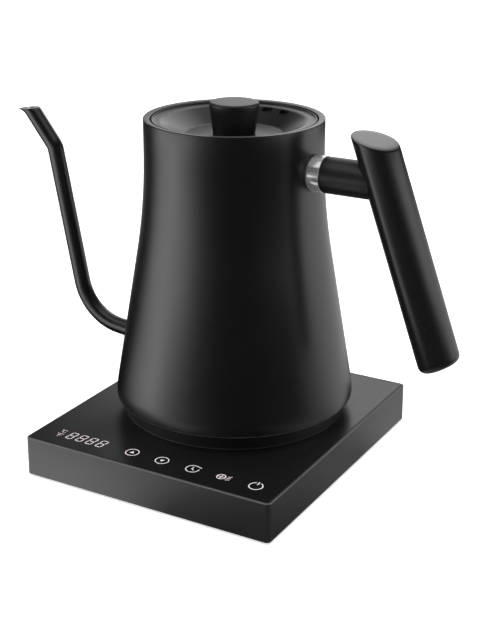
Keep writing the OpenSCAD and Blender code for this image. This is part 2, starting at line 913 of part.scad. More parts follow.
module neutral_ring() {
    color("#c9a24a") on_plate() translate([0, 0, ring_low_k])
        ring(neutral_ring_r + ring_half, neutral_ring_r - ring_half,
            cup_roof_k - ring_low_k);
}

module live_pin() {
    color("#c9a24a") on_plate() rotate_extrude()
        polygon([[0, ring_low_k - 1], [live_pin_r - 0.8, ring_low_k - 1],
            [live_pin_r, ring_low_k], [live_pin_r, cup_roof_k], [0, cup_roof_k]]);
}

// ==================== Kettle ====================

module kettle_body() {
    inner = shell_side(shell_wall);
    color("#2b2b2c") on_plate() difference() {
        rotate_extrude() polygon(concat(
            [[lip_r, shell_k]], shell_side(0),
            [[neck_r, rim_k - rim_bevel], [neck_r - rim_bevel, rim_k],
             [rim_in_r + rim_bevel, rim_k], [rim_in_r, rim_k - rim_bevel],
             [rim_in_r, hem_k], [neck_r - shell_wall, hem_k]],
            [for (i = [len(inner) - 1:-1:0]) inner[i]],
            [[lip_r, shell_k + shell_wall]]));
        spout_frame() translate([-spout_start_x, spout_root_k, 0])
            run(root_heading, 8, spout_r + part_gap);
    }
}

module neck_ring() {
    color("#b4b6b8") on_plate() rotate_extrude() polygon([
        [bore_r, seat_k - lid_plug_h + 1], [bore_r + ring_wall, seat_k - lid_plug_h + 1],
        [bore_r + ring_wall, seat_k - ring_plate_t], [neck_in_r, seat_k - ring_plate_t],
        [neck_in_r, seat_k], [bore_r, seat_k]]);
}

module kettle_floor() {
    wall = shell_wall + fit_gap;
    low = floor_k - floor_flange_h;
    color("#b4b6b8") on_plate() difference() {
        rotate_extrude() polygon([
            [0, floor_under_k], [lower_r(floor_under_k, wall) - floor_t, floor_under_k],
            [lower_r(low, wall) - floor_t, low], [lower_r(low, wall), low],
            [lower_r(floor_k, wall), floor_k], [0, floor_k]]);
        rotate([0, 0, probe_turn]) translate([probe_place_r, 0, floor_under_k - 1])
            cylinder(h = floor_t + 2, r = probe_r + 1, $fn = 48);
    }
}

module floor_studs() {
    color("#b4b6b8") on_plate() around(foot_screw_n, foot_screw_r, 0)
        translate([0, 0, stud_post_k]) difference() {
            cylinder(h = floor_under_k - stud_post_k, r = stud_post_r, $fn = 48);
            translate([0, 0, -1])
                cylinder(h = foot_screw_bite + 2, r = screw_r + part_gap, $fn = 32);
        }
}

module heater_plate() {
    color("#b9babc") on_plate() translate([0, 0, heater_under_k])
        cylinder(h = heater_plate_t, r = heater_plate_r);
}

module heating_element() {
    color("#8d8f92") on_plate() translate([0, 0, element_k])
        rotate([0, 0, 90 + (360 - element_sweep)/2])
            rotate_extrude(angle = element_sweep)
                translate([element_ring_r, 0]) circle(element_r, $fn = 48);
}

// cold pins that leave both ends of the element towards each other
module element_terminals() {
    half = (360 - element_sweep)/2;
    color("#b9babc") on_plate() translate([0, 0, element_k])
        for (s = [-1, 1]) rotate([0, 0, 90 + s*half])
            translate([element_ring_r, 0, 0]) rotate([s*90, 0, 0])
                cylinder(h = cold_pin_len, r = cold_pin_r, $fn = 32);
}

module thermal_cutout() {
    color("#d7d3c8") on_plate() rotate([0, 0, 210])
        translate([cutout_place_r, 0, heater_under_k - cutout_h])
            cylinder(h = cutout_h, r = cutout_r, $fn = 64);
}

module thermal_fuse() {
    color("#c9a24a") on_plate() rotate([0, 0, 150])
        translate([cutout_place_r, -fuse_len/2, heater_under_k - fuse_r - part_gap])
            rotate([-90, 0, 0]) cylinder(h = fuse_len, r = fuse_r, $fn = 48);
}

module temperature_probe() {
    color("#c2c4c6") on_plate() rotate([0, 0, probe_turn])
        translate([probe_place_r, 0, 0]) rotate_extrude() polygon([
            [0, floor_under_k - 5], [probe_r, floor_under_k - 5],
            [probe_r, floor_k + probe_out - 1], [probe_r - 1, floor_k + probe_out],
            [0, floor_k + probe_out]]);
}

module probe_seal() {
    neck = probe_r + 1 - part_gap;
    color("#b8b3ad") on_plate() rotate([0, 0, probe_turn])
        translate([probe_place_r, 0, 0]) rotate_extrude() polygon([
            [probe_r + part_gap, floor_under_k - 1.4], [seal_r, floor_under_k - 1.4],
            [seal_r, floor_under_k], [neck, floor_under_k], [neck, floor_k],
            [seal_r - 0.4, floor_k], [seal_r - 0.4, floor_k + 1.2],
            [probe_r + part_gap, floor_k + 1.2]]);
}

module kettle_connector() {
    color("#262628") on_plate() difference() {
        rotate_extrude() polygon([
            [cup_in_r, foot_rise], [cup_out_r, foot_rise], [cup_out_r, foot_plate_k],
            [cup_flange_r, foot_plate_k], [cup_flange_r, foot_plate_k + cup_flange_t],
            [cup_out_r, foot_plate_k + cup_flange_t],
            [cup_out_r, cup_roof_k + cup_roof_t], [0, cup_roof_k + cup_roof_t],
            [0, cup_roof_k], [cup_in_r, cup_roof_k]]);
        around(connector_screw_n, connector_screw_r, 45)
            translate([0, 0, foot_plate_k - 1])
                cylinder(h = cup_flange_t + 2, r = screw_r + hole_play, $fn = 32);
    }
}

module kettle_connector_screws() {
    color("#b9bbbe") on_plate() around(connector_screw_n, connector_screw_r, 45)
        translate([0, 0, foot_plate_k + cup_flange_t]) rotate([180, 0, 0])
            screw_up(screw_r, cup_flange_t + foot_plate_t - 0.4, head_r, head_h);
}

module foot_cover() {
    color("#121213") on_plate() difference() {
        union() {
            rotate_extrude() polygon([
                [cup_out_r + fit_gap, foot_rise], [foot_cover_r - foot_wall, foot_rise],
                [foot_cover_r - foot_wall, 0], [foot_cover_r - 0.4, 0],
                [foot_cover_r, 0.4], [foot_cover_r, shell_k],
                [lip_r - fit_gap, shell_k], [lip_r - fit_gap, shell_k + spigot_h],
                [lip_r - fit_gap - spigot_t, shell_k + spigot_h],
                [lip_r - fit_gap - spigot_t, foot_plate_k],
                [cup_out_r + fit_gap, foot_plate_k]]);
            around(foot_screw_n, foot_screw_r, 0)
                translate([0, 0, foot_rise])
                    cylinder(h = stud_post_k - foot_rise, r = foot_boss_r, $fn = 48);
        }
        around(foot_screw_n, foot_screw_r, 0) {
            translate([0, 0, -1]) cylinder(h = foot_plate_k, r = head_r + head_play, $fn = 48);
            translate([0, 0, -1])
                cylinder(h = stud_post_k + 2, r = screw_r + hole_play, $fn = 32);
        }
        around(connector_screw_n, connector_screw_r, 45)
            translate([0, 0, foot_rise + 0.2])
                cylinder(h = foot_plate_t, r = screw_r + part_gap, $fn = 32);
    }
}

module foot_cover_screws() {
    seat = foot_plate_k - 1;
    color("#b9bbbe") on_plate() around(foot_screw_n, foot_screw_r, 0)
        translate([0, 0, seat])
            screw_up(screw_r, stud_post_k - seat + foot_screw_bite, head_r, head_h - 0.1);
}

// ---- Spout: a bent tube drawn in the kettle's upright middle plane ----

module spout_frame() {
    rotate([90, 0, 0]) children();
}

module run(turn, length, r) {
    rotate([0, 0, turn]) rotate([0, 90, 0]) cylinder(h = length, r = r, $fn = 64);
}

// the bends are a hair thicker than the straight runs, which reach into them
module spout_rod(r, extra = 0) {
    start = [-spout_start_x, spout_root_k];
    bend_in = bend_corner - bend_cut*heading(root_heading);
    bend_out = bend_corner + bend_cut*heading(rise_heading);
    knee_in = knee_corner - knee_cut*heading(rise_heading);
    knee_out = knee_corner + knee_cut*heading(tip_heading);
    bend_mid = bend_in + spout_bend_r*heading(root_heading - 90);
    knee_mid = knee_in + spout_knee_r*heading(rise_heading + 90);
    translate(start - extra*heading(root_heading))
        run(root_heading, norm(bend_in - start) + extra + run_in, r);
    translate(bend_mid) rotate([0, 0, rise_heading + 90])
        rotate_extrude(angle = bend_turn) translate([spout_bend_r, 0])
            circle(r + bend_swell, $fn = 64);
    translate(bend_out - run_in*heading(rise_heading))
        run(rise_heading, norm(knee_in - bend_out) + 2*run_in, r);
    translate(knee_mid) rotate([0, 0, rise_heading - 90])
        rotate_extrude(angle = knee_turn) translate([spout_knee_r, 0])
            circle(r + bend_swell, $fn = 64);
    translate(knee_out - run_in*heading(tip_heading))
        run(tip_heading, norm(tip_point - knee_out) + 12 + run_in, r);
}

// short beak at the tip that throws the water clear of the tube
module spout_lip(r) {
    edge_x = tip_point[0] - spout_r/cos(spout_tip_lean) - lip_reach;
    mid_x = edge_x + lip_tube_r/cos(lip_lean);
    back = 6;
    translate([mid_x, spout_tip_k] - back*heading(90 + lip_lean))
        run(90 + lip_lean, back + 8, r);
}

module spout_tube() {
    color("#2b2b2c") on_plate() spout_frame() difference() {
        union() {
            spout_rod(spout_r);
            spout_lip(lip_tube_r);
        }
        spout_rod(spout_r - spout_wall, 1);
        spout_lip(lip_tube_r - spout_wall);
        translate([tip_point[0] - 40, spout_tip_k, -20]) cube([80, 40, 40]);
    }
}

// ---- Handle ----

module along_stem(x) {
    translate([x, 0, stem_k]) rotate([0, 90, 0]) children();
}

// the grip's frame: height 0 at the stem, +Z up along the grip
module grip_frame() {
    translate([grip_x, 0, stem_k]) rotate([0, -grip_lean, 0]) children();
}

module handle_stud() {
    color("#a9abae") on_plate() difference() {
        along_stem(neck_r - 3) cylinder(h = stud_end_x - neck_r + 3, r = stud_r, $fn = 64);
        shell_outside(part_gap);
    }
}

module handle_ferrule() {
    start = neck_r - 3;
    color("#d6d7d9") on_plate() difference() {
        along_stem(start) rotate_extrude() polygon([
            [stud_r + part_gap, 0], [ferrule_r, 0],
            [ferrule_r, ferrule_x - start - ferrule_bevel],
            [ferrule_r - ferrule_bevel, ferrule_x - start],
            [stud_r + part_gap, ferrule_x - start]]);
        shell_outside(part_gap);
    }
}

module handle_stem() {
    color("#1c1c1d") on_plate() difference() {
        along_stem(ferrule_x) rotate_extrude() polygon([
            [stud_r + part_gap, 0], [stem_r - ferrule_bevel, 0], [stem_r, ferrule_bevel],
            [stem_r, grip_x - ferrule_x], [stud_r + part_gap, grip_x - ferrule_x]]);
        grip_frame() translate([0, 0, -grip_r*2])
            cylinder(h = grip_r*4, r = grip_r + part_gap);
        translate([grub_x, 0, stem_k - stem_r - 1])
            cylinder(h = stem_r + 1, r = grub_r + part_gap, $fn = 32);
    }
}

module grub_screw() {
    color("#8f9194") on_plate()
        translate([grub_x, 0, stem_k - stud_r - part_gap - grub_len]) difference() {
            cylinder(h = grub_len, r = grub_r, $fn = 32);
            translate([0, 0, -1]) cylinder(h = 2.2, r = 0.8, $fn = 6);
        }
}

// the grip's lower end: height 0 where its rounding starts
module grip_end_frame() {
    grip_frame() translate([0, 0, grip_round - grip_down])
        rotate([0, -grip_end_slope, 0]) children();
}

module handle_grip() {
    color("#1c1c1d") on_plate() difference() {
        grip_frame() translate([0, 0, -grip_down])
            cylinder(h = grip_down + grip_up + grip_r*2, r = grip_r);
        grip_end_frame() translate([0, 0, -20]) cube([80, 80, 40], center = true);
        grip_frame() translate([0, 0, grip_up]) rotate([0, grip_lean + grip_top_slope, 0])
            translate([0, 0, 20]) cube([80, 80, 40], center = true);
        grip_frame() translate([0, 0, -grip_down - 1])
            cylinder(h = grip_down - grip_hollow_top + 1, r = grip_r - grip_wall);
        along_stem(grip_x - grip_r*2)
            cylinder(h = stud_end_x - grip_x + grip_r*2 + part_gap, r = stud_r + part_gap,
                $fn = 64);
    }
}

// rounded plug that closes the grip from below
module grip_cap() {
    color("#1c1c1d") on_plate() {
        grip_end_frame() rotate_extrude() polygon(concat([[0, -grip_round]],
            arc(grip_r - grip_round, 0, grip_round, -90, 0, 8), [[0, 0]]));
        grip_frame() translate([0, 0, -grip_down + 1.6])
            cylinder(h = grip_round - 1.6 + cap_bite, r = grip_r - grip_wall - part_gap);
    }
}

// ==================== Lid ====================

// upper face of the dish from its floor to its edge, lowered by off
function dish_face(off) = concat(
    arc(dish_floor_r - in_cut, dish_floor_k + dish_round_in, dish_round_in + off,
        -90, dish_slope - 90, 5),
    arc(dish_edge_r + out_cut, dish_ledge_k - dish_round_out, dish_round_out - off,
        dish_slope + 90, 90, 6));

module lid_dish() {
    under = dish_face(lid_sheet);
    color("#2b2b2c") on_plate() difference() {
        rotate_extrude() polygon(concat(
            [[0, dish_floor_k - lid_sheet], [0, dish_floor_k]], dish_face(0),
            [[lid_r - 0.5, lid_edge_k], [lid_r, lid_edge_k - 0.5], [lid_r, seat_k],
             [lid_r - lid_sheet, seat_k],
             [lid_r - lid_sheet, dish_ledge_k - lid_sheet]],
            [for (i = [len(under) - 1:-1:0]) under[i]]));
        for (i = [0:vent_n - 1])
            rotate([0, 0, vent_turn + (i - (vent_n - 1)/2)*vent_step])
                translate([vent_r, 0, dish_floor_k - 2]) vent_slot();
        translate([0, 0, dish_floor_k - lid_sheet - 1])
            cylinder(h = lid_sheet + 2, r = lid_screw_r + hole_play, $fn = 32);
    }
}

module vent_slot() {
    half = (vent_len - vent_w)/2;
    for (s = [-1, 1]) translate([0, s*half, 0])
        cylinder(h = dish_depth + 4, r = vent_w/2, $fn = 32);
    translate([-vent_w/2, -half, 0]) cube([vent_w, 2*half, dish_depth + 4]);
}

module lid_inner_cup() {
    top = dish_ledge_k - lid_sheet - part_gap;
    flange = gasket_lip;
    color("#8a8c8f") on_plate() difference() {
        rotate_extrude() polygon([
            [0, plug_low_k], [plug_r + flange, plug_low_k],
            [plug_r + flange, plug_low_k + cup_t], [plug_r, plug_low_k + cup_t],
            [plug_r, top], [plug_r - cup_t, top], [plug_r - cup_t, plug_low_k + cup_t],
            [cup_post_r, plug_low_k + cup_t], [cup_post_r, dish_floor_k - lid_sheet],
            [0, dish_floor_k - lid_sheet]]);
        translate([0, 0, plug_low_k - 1])
            cylinder(h = lid_plug_h + 2, r = lid_screw_r + hole_play, $fn = 32);
        around(cup_hole_n, cup_hole_place_r, 180/cup_hole_n)
            translate([0, 0, plug_low_k - 1])
                cylinder(h = cup_t + 2, r = cup_hole_r, $fn = 32);
    }
}

module lid_gasket() {
    low = plug_low_k + cup_t;
    inner = plug_r + fit_gap;
    outer = bore_r - 0.2;
    color("#6f7073") on_plate() rotate_extrude() polygon([
        [inner, low], [inner + gasket_t/2, low], [outer, low + gasket_h/2 - 0.3],
        [outer, low + gasket_h/2 + 0.3], [inner + gasket_t/2, low + gasket_h],
        [inner, low + gasket_h]]);
}

module lid_knob() {
    top = dish_floor_k + knob_h;
    color("#1c1c1d") on_plate() difference() {
        rotate_extrude() polygon(concat(
            [[0, dish_floor_k], [knob_foot_r, dish_floor_k],
             [knob_top_r, top - 2*knob_bevel]],
            arc(knob_top_r - knob_bevel, top - knob_bevel, knob_bevel, 0, 90, 4),
            [[0, top]]));
        translate([0, 0, dish_floor_k - 1])
            cylinder(h = 10, r = lid_screw_r + part_gap, $fn = 32);
    }
}

module lid_washer() {
    color("#b9bbbe") on_plate() translate([0, 0, plug_low_k - lid_washer_t])
        ring(lid_washer_r, lid_screw_r + hole_play, lid_washer_t, $fn = 48);
}

module lid_knob_screw() {
    color("#b9bbbe") on_plate() translate([0, 0, plug_low_k - lid_washer_t])
        screw_up(lid_screw_r, lid_screw_len, lid_screw_head_r, lid_screw_head_h);
}

base_housing();
base_top_plate();
touch_marks();
display_digits();
display_module();
control_board();
touch_pads();
power_board();
relay();
filter_capacitor();
transformer();
electrolytic_capacitors();
buzzer();
terminal_block();
ribbon_cable();
board_screws();
base_connector();
base_contacts();
connector_seal();
base_connector_screws();
cord_gland();
bottom_cover();
cover_screws();
rubber_feet();
earth_ring();
neutral_ring();
live_pin();
kettle_body();
neck_ring();
kettle_floor();
floor_studs();
heater_plate();
heating_element();
element_terminals();
thermal_cutout();
thermal_fuse();
temperature_probe();
probe_seal();
kettle_connector();
kettle_connector_screws();
foot_cover();
foot_cover_screws();
spout_tube();
handle_stud();
handle_ferrule();
handle_stem();
grub_screw();
handle_grip();
grip_cap();
lid_gasket();
lid_dish();
lid_inner_cup();
lid_knob();
lid_washer();
lid_knob_screw();
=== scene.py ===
"""Gooseneck electric kettle on its power base: the outer pieces in fine mesh, a
finish for every piece, and a plain studio. Metres, +Z up, spout to -X, handle to
+X, control strip to -Y. Heights called k are measured from the base's top plate."""

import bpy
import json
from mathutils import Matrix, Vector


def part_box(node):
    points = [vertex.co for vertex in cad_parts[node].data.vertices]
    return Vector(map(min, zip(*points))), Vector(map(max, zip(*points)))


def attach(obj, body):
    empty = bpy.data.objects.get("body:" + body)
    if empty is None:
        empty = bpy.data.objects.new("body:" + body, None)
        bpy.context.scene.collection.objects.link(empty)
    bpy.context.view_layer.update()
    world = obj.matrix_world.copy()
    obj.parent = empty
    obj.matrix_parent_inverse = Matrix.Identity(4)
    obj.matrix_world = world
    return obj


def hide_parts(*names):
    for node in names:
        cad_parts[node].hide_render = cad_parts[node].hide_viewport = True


bl_info = {
    "name": "Gooseneck kettle",
    "version": (1, 0, 0),
    "blender": (4, 5, 0),
    "location": "View3D > Sidebar > Kettle",
    "description": "Outer pieces, finishes and studio for a gooseneck electric kettle",
    "category": "Object",
}

import json
import math

import bmesh
import bpy
from bpy.props import FloatProperty, FloatVectorProperty, PointerProperty
from mathutils import Matrix, Vector

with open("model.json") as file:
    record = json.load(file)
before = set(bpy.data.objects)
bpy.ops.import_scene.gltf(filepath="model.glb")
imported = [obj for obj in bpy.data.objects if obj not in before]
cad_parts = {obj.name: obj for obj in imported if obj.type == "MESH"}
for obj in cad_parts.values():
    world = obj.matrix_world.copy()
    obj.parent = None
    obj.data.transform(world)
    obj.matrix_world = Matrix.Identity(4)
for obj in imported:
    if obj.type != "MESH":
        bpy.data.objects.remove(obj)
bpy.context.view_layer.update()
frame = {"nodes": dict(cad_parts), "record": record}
base_low, base_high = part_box("base_housing")
knob_low, knob_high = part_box("lid_knob")


# ==================== Sizes, colours and light ====================

def metres(name, words, default):
    """A length that a user may set."""
    return FloatProperty(name=name, description=words, default=default, min=0.0, unit="LENGTH", precision=5)


def degrees(name, words, default):
    """An angle that a user may set, given here in degrees."""
    return FloatProperty(name=name, description=words, default=math.radians(default), subtype="ANGLE")


def colour(name, words, default):
    """A colour that a user may set."""
    return FloatVectorProperty(name=name, description=words, default=default, min=0.0, max=1.0,
        size=3, subtype="COLOR")


def number(name, words, default, unit="NONE", low=0.0):
    """A power, share or other number that a user may set."""
    return FloatProperty(name=name, description=words, default=default, min=low, unit=unit)


class KettleBaseSizes(bpy.types.PropertyGroup):
    width: metres("Width", "Width of the power base", base_high.x - base_low.x)
    depth: metres("Depth", "Depth of the power base, without its gland", 0.1615)
    low: metres("Bottom", "Height of the housing's bottom edge", base_low.z)
    top: metres("Top", "Height of the top plate's face", base_high.z)
    corner: metres("Corner radius", "Radius of the upright corners", 0.0024)
    edge: metres("Edge rounding", "Rounding along the top edges", 0.0008)
    rim: metres("Rim width", "Width of the rim round the top plate", 0.0015)
    wall: metres("Wall", "Thickness of the housing's wall", 0.0024)
    plate: metres("Plate thickness", "Depth of the recess for the top plate", 0.0024)
    deck: metres("Deck thickness", "Thickness of the deck under the plate", 0.002)
    dome: metres("Dome hole radius", "Radius of the hole for the connector's dome", 0.0206)


class KettleBodySizes(bpy.types.PropertyGroup):
    axis_y: metres("Axis", "Distance of the kettle's axis behind the middle of the base", 0.012)
    neck: metres("Neck radius", "Radius of the upright neck", 0.0472)
    rim_k: metres("Rim height", "Height of the rim above the top plate", 0.1605)
    neck_height: metres("Neck height", "Height of the upright neck", 0.0177)
    hollow: metres("Hollow radius", "Radius of the long curve under the neck", 0.327)
    slope: degrees("Slope", "Slope of the lower body from upright", 9.45)
    wall: metres("Wall", "Thickness of the steel shell", 0.0008)
    rim_width: metres("Rim width", "Width of the folded rim", 0.0034)
    rim_depth: metres("Rim depth", "Depth of the folded rim", 0.0039)
    rim_fall: metres("Rim fall", "How far the rim's top falls towards the lid", 0.00035)
    low_curve: metres("Lower curve", "Radius of the curve that brings the side upright at its foot", 0.040)
    edge: metres("Bottom edge radius", "Radius of the shell's bottom edge", 0.0012)
    low_k: metres("Bottom height", "Height of the shell's bottom edge above the top plate", 0.0084)
    setback: metres("Foot setback", "How far the foot is set back from the widest part", 0.0042)


class KettleSpoutSizes(bpy.types.PropertyGroup):
    radius: metres("Radius", "Outer radius of the tube", 0.00452)
    wall: metres("Wall", "Wall of the tube", 0.0008)
    root_k: metres("Root height", "Height where the tube leaves the body", 0.0283)
    root_rise: degrees("Root rise", "Rise of the tube as it leaves the body", 6.8)
    reach: metres("Reach", "Distance from the axis to the foot of the rising tube", 0.09745)
    bend: metres("Lower bend radius", "Radius of the lower bend", 0.0287)
    lean: degrees("Lean", "Lean of the rising tube from upright", 11.3)
    knee_k: metres("Upper bend height", "Height of the upper bend", 0.1309)
    knee: metres("Upper bend radius", "Radius of the upper bend", 0.0091)
    tip_lean: degrees("Tip lean", "Lean of the tip from upright", 38.0)
    tip_k: metres("Tip height", "Height of the cut at the middle of the tip", 0.1514)
    cut: degrees("Cut slope", "Fall of the cut towards the pouring lip", 5.0)
    lip: metres("Lip reach", "How far the pouring lip stands out", 0.0032)
    lip_length: metres("Lip length", "Length of tube that the pouring lip is drawn from", 0.0034)
    droop: metres("Lip droop", "How far the pouring lip bends down", 0.0007)


class KettleHandleSizes(bpy.types.PropertyGroup):
    stem_k: metres("Stem height", "Height of the stem above the top plate", 0.1365)
    stem: metres("Stem radius", "Radius of the plastic stem", 0.0094)
    ferrule: metres("Ferrule radius", "Radius of the bright ferrule", 0.0095)
    ferrule_end: metres("Ferrule end", "Distance from the axis to the ferrule's outer end", 0.0535)
    grip_x: metres("Grip distance", "Distance from the axis to the grip at the stem", 0.08698)
    lean: degrees("Grip lean", "Lean of the grip from upright", 19.5)
    grip: metres("Grip radius", "Radius of the grip", 0.011)
    up: metres("Grip above stem", "Length of the grip above the stem", 0.0225)
    down: metres("Grip below stem", "Length of the grip below the stem", 0.0965)
    top_slope: degrees("Top slope", "Slope of the grip's top face from level", 11.0)
    top_roll: degrees("Top roll", "Slope of the grip's top face across the handle", 5.5)
    rounding: metres("Edge rounding", "Rounding round the grip's top face", 0.0008)
    foot_rounding: metres("Foot rounding", "Rounding at the grip's lower end", 0.0038)
    foot_slope: degrees("Foot slope", "Slope of the grip's lower end from square", 8.0)
    wall: metres("Grip wall", "Wall of the hollow grip", 0.0026)
    stud: metres("Stud bore", "Radius of the bore for the steel stud", 0.00505)


class KettleLidSizes(bpy.types.PropertyGroup):
    drop: metres("Drop", "How far the lid's edge lies below the rim", 0.0006)
    gap: metres("Gap", "Gap between the lid and the rim", 0.0007)
    depth: metres("Dish depth", "Depth of the dish below the lid's edge", 0.0082)
    floor: metres("Dish floor", "Radius of the dish's flat floor", 0.0255)
    shoulder: metres("Dish shoulder", "Radius where the dish starts to fall", 0.0382)
    round_in: metres("Floor rounding", "Rounding where the dish meets its floor", 0.0024)
    round_out: metres("Shoulder rounding", "Rounding where the dish starts to fall", 0.0055)
    fall: metres("Ledge fall", "How far the ledge lies under the lid's edge", 0.001)
    sheet: metres("Sheet", "Thickness of the lid's sheet", 0.0012)
    vent_r: metres("Vent circle", "Distance of the vents from the axis", 0.0359)
    vent_length: metres("Vent length", "Length of a steam vent", 0.0062)
    vent_width: metres("Vent width", "Width of a steam vent", 0.0032)
    vent_step: degrees("Vent step", "Angle between two vents", 18.0)
    knob_foot: metres("Knob foot", "Radius of the knob at its foot", 0.011)
    knob_top: metres("Knob top", "Radius of the knob at its top", 0.01295)


class KettleColours(bpy.types.PropertyGroup):
    coat: colour("Coat", "Satin powder coat of body, spout and lid", (0.0040, 0.0040, 0.0042))
    housing: colour("Housing", "Plastic of the base housing", (0.0145, 0.0145, 0.015))
    plate: colour("Top plate", "Plastic of the top plate", (0.0065, 0.0065, 0.007))
    grip: colour("Grip", "Plastic of handle and knob", (0.0075, 0.0075, 0.008))
    foot: colour("Foot", "Plastic of the foot and the bottom cover", (0.008, 0.008, 0.0085))
    connector: colour("Connector", "Plastic of both connectors", (0.011, 0.011, 0.012))
    sign: colour("Signs", "Digits and touch signs", (0.86, 0.78, 0.79))
    steel: colour("Steel", "Bare stainless steel", (0.68, 0.68, 0.69))
    chrome: colour("Ferrule", "Satin ferrule", (0.95, 0.95, 0.96))
    brass: colour("Brass", "Contacts", (0.64, 0.46, 0.18))
    board: colour("Boards", "Solder mask of the boards", (0.018, 0.12, 0.055))
    rubber: colour("Rubber", "Feet and gland", (0.010, 0.010, 0.0105))
    silicone: colour("Silicone", "Seals inside the kettle", (0.34, 0.32, 0.30))
    floor: colour("Floor", "Studio floor", (0.90, 0.90, 0.90))


class KettleStudio(bpy.types.PropertyGroup):
    left_light: number("Left light", "Power of the soft light on the left", 5.0, "POWER")
    right_light: number("Right light", "Power of the soft light on the right", 3.5, "POWER")
    top_light: number("Top light", "Power of the light overhead", 20.0, "POWER")
    room: number("Room", "Strength of the even light from all round", 0.35)
    lift: number("Floor lift", "Light added to the floor near the kettle where it is looked at", 0.56)
    turn: degrees("Camera turn", "Turn of the camera from the front towards the handle", 29.858)
    rise: degrees("Camera rise", "Rise of the camera above level", 17.589)
    distance: metres("Camera distance", "Distance of the camera from its target", 0.68694)
    lens: number("Lens", "Focal length in millimetres on a 36 mm sensor", 74.317, low=1.0)
    aim_x: metres("Aim across", "Distance of the camera's target from the middle of the base", 0.01035)
    aim_z: metres("Aim height", "Height of the camera's target", 0.1205)
    shift: number("Shift", "How far the lens slides the picture down, as a share of its height", 0.125)


GROUPS = {
    "kettle_base": KettleBaseSizes,
    "kettle_body": KettleBodySizes,
    "kettle_spout": KettleSpoutSizes,
    "kettle_handle": KettleHandleSizes,
    "kettle_lid": KettleLidSizes,
    "kettle_colours": KettleColours,
    "kettle_studio": KettleStudio,
}


# ==================== Finishes ====================

class Wire:
    """One socket in a finish. Arithmetic on it adds Math nodes."""

    def __init__(self, finish, socket):
        self.finish, self.socket = finish, socket

    def math(self, operation, *others, first=None):
        """One Math node on this socket, or on first and this socket."""
        terms = [self, *others] if first is None else [first, self]
        return self.finish.node("ShaderNodeMath", {"operation": operation}, dict(enumerate(terms)))

    def __add__(self, other):
        return self.math("ADD", other)

    def __mul__(self, other):
        return self.math("MULTIPLY", other)

    def __sub__(self, other):
        return self.math("SUBTRACT", other)

    def __rsub__(self, other):
        return self.math("SUBTRACT", first=other)

    def __truediv__(self, other):
        return self.math("DIVIDE", other)

    def __rtruediv__(self, other):
        return self.math("DIVIDE", first=other)

    __radd__ = __add__
    __rmul__ = __mul__

    def step(self, low, high):
        """0 below low, 1 above high, smooth between."""
        return self.finish.node("ShaderNodeMapRange", {"interpolation_type": "SMOOTHSTEP"},
            {0: self, 1: low, 2: high, 3: 0.0, 4: 1.0})


class Nodes:
    """A node tree with one method for adding nodes to it."""

    def __init__(self, tree):
        self.tree = tree

    def feed(self, socket, value):
        """Links a wire to a socket, or sets the socket to a value."""
        if isinstance(value, Wire):
            self.tree.links.new(value.socket, socket)
        elif hasattr(value, "__len__") and socket.type == "RGBA":
            socket.default_value = (*value[:3], 1.0)
        else:
            socket.default_value = value

    def node(self, kind, settings=None, inputs=None, output=0):
        """Adds a node with its settings and inputs, and gives the wire of one output."""
        made = self.tree.nodes.new(kind)
        for name, value in (settings or {}).items():
            if name == "stops":
                ramp = made.color_ramp
                while len(ramp.elements) < len(value):
                    ramp.elements.new(1.0)
                for element, (at, tone) in zip(ramp.elements, value):
                    element.position, element.color = at, (*tone, 1.0)
            else:
                setattr(made, name, value)
        for name, value in (inputs or {}).items():
            self.feed(made.inputs[name], value)
        return Wire(self, made.outputs[output])


class Finish(Nodes):
    """A material made of nodes round one Principled shader."""

    def __init__(self, name, **constants):
        self.material = bpy.data.materials.new(name)
        self.material.use_nodes = True
        super().__init__(self.material.node_tree)
        self.shader = self.tree.nodes["Principled BSDF"]
        self.place = self.node("ShaderNodeTexCoord", output="Object")
        self.set(**constants)

    def set(self, **values):
        """Feeds the shader's sockets by name, with _ for a space."""
        for name, value in values.items():
            self.feed(self.shader.inputs[name.replace("_", " ")], value)

    def stretched(self, x, y, z):
        """Object coordinates, scaled on each axis."""
        return self.node("ShaderNodeVectorMath", {"operation": "MULTIPLY"}, {0: self.place, 1: (x, y, z)})

    def split(self):
        """The three object coordinates, each as a wire."""
        first = self.node("ShaderNodeSeparateXYZ", None, {0: self.place})
        return [Wire(self, socket) for socket in first.socket.node.outputs]

    def round_axis(self, around, along, across):
        """Coordinates wound round the kettle's axis: angle, height and distance."""
        x, y, z = self.split()
        y = y - bpy.context.scene.kettle_body.axis_y
        angle = y.math("ARCTAN2", x)
        out = (x * x + y * y).math("SQRT")
        return self.node("ShaderNodeCombineXYZ", None, {0: angle * around, 1: z * along, 2: out * across})

    def noise(self, scale, detail=2.0, rough=0.5, at=None):
        """Soft clouds from 0 to 1."""
        return self.node("ShaderNodeTexNoise", None,
            {"Vector": at or self.place, "Scale": scale, "Detail": detail, "Roughness": rough})

    def cells(self, scale):
        """Distance to the nearest of many scattered points."""
        return self.node("ShaderNodeTexVoronoi", None, {"Vector": self.place, "Scale": scale})

    def mix(self, mask, a, b):
        """The colour a where mask is 0 and b where it is 1."""
        return self.node("ShaderNodeMix", {"data_type": "RGBA"}, {0: mask, 6: a, 7: b}, 2)

    def bump(self, height, depth):
        """Normal from a height of 0 to 1 that stands for depth metres."""
        return self.node("ShaderNodeBump", None, {"Height": height, "Distance": depth, "Strength": 1.0})


def tint(tone, amount):
    """The colour tone, made lighter or darker."""
    return tuple(min(1.0, c * amount) for c in tone[:3])


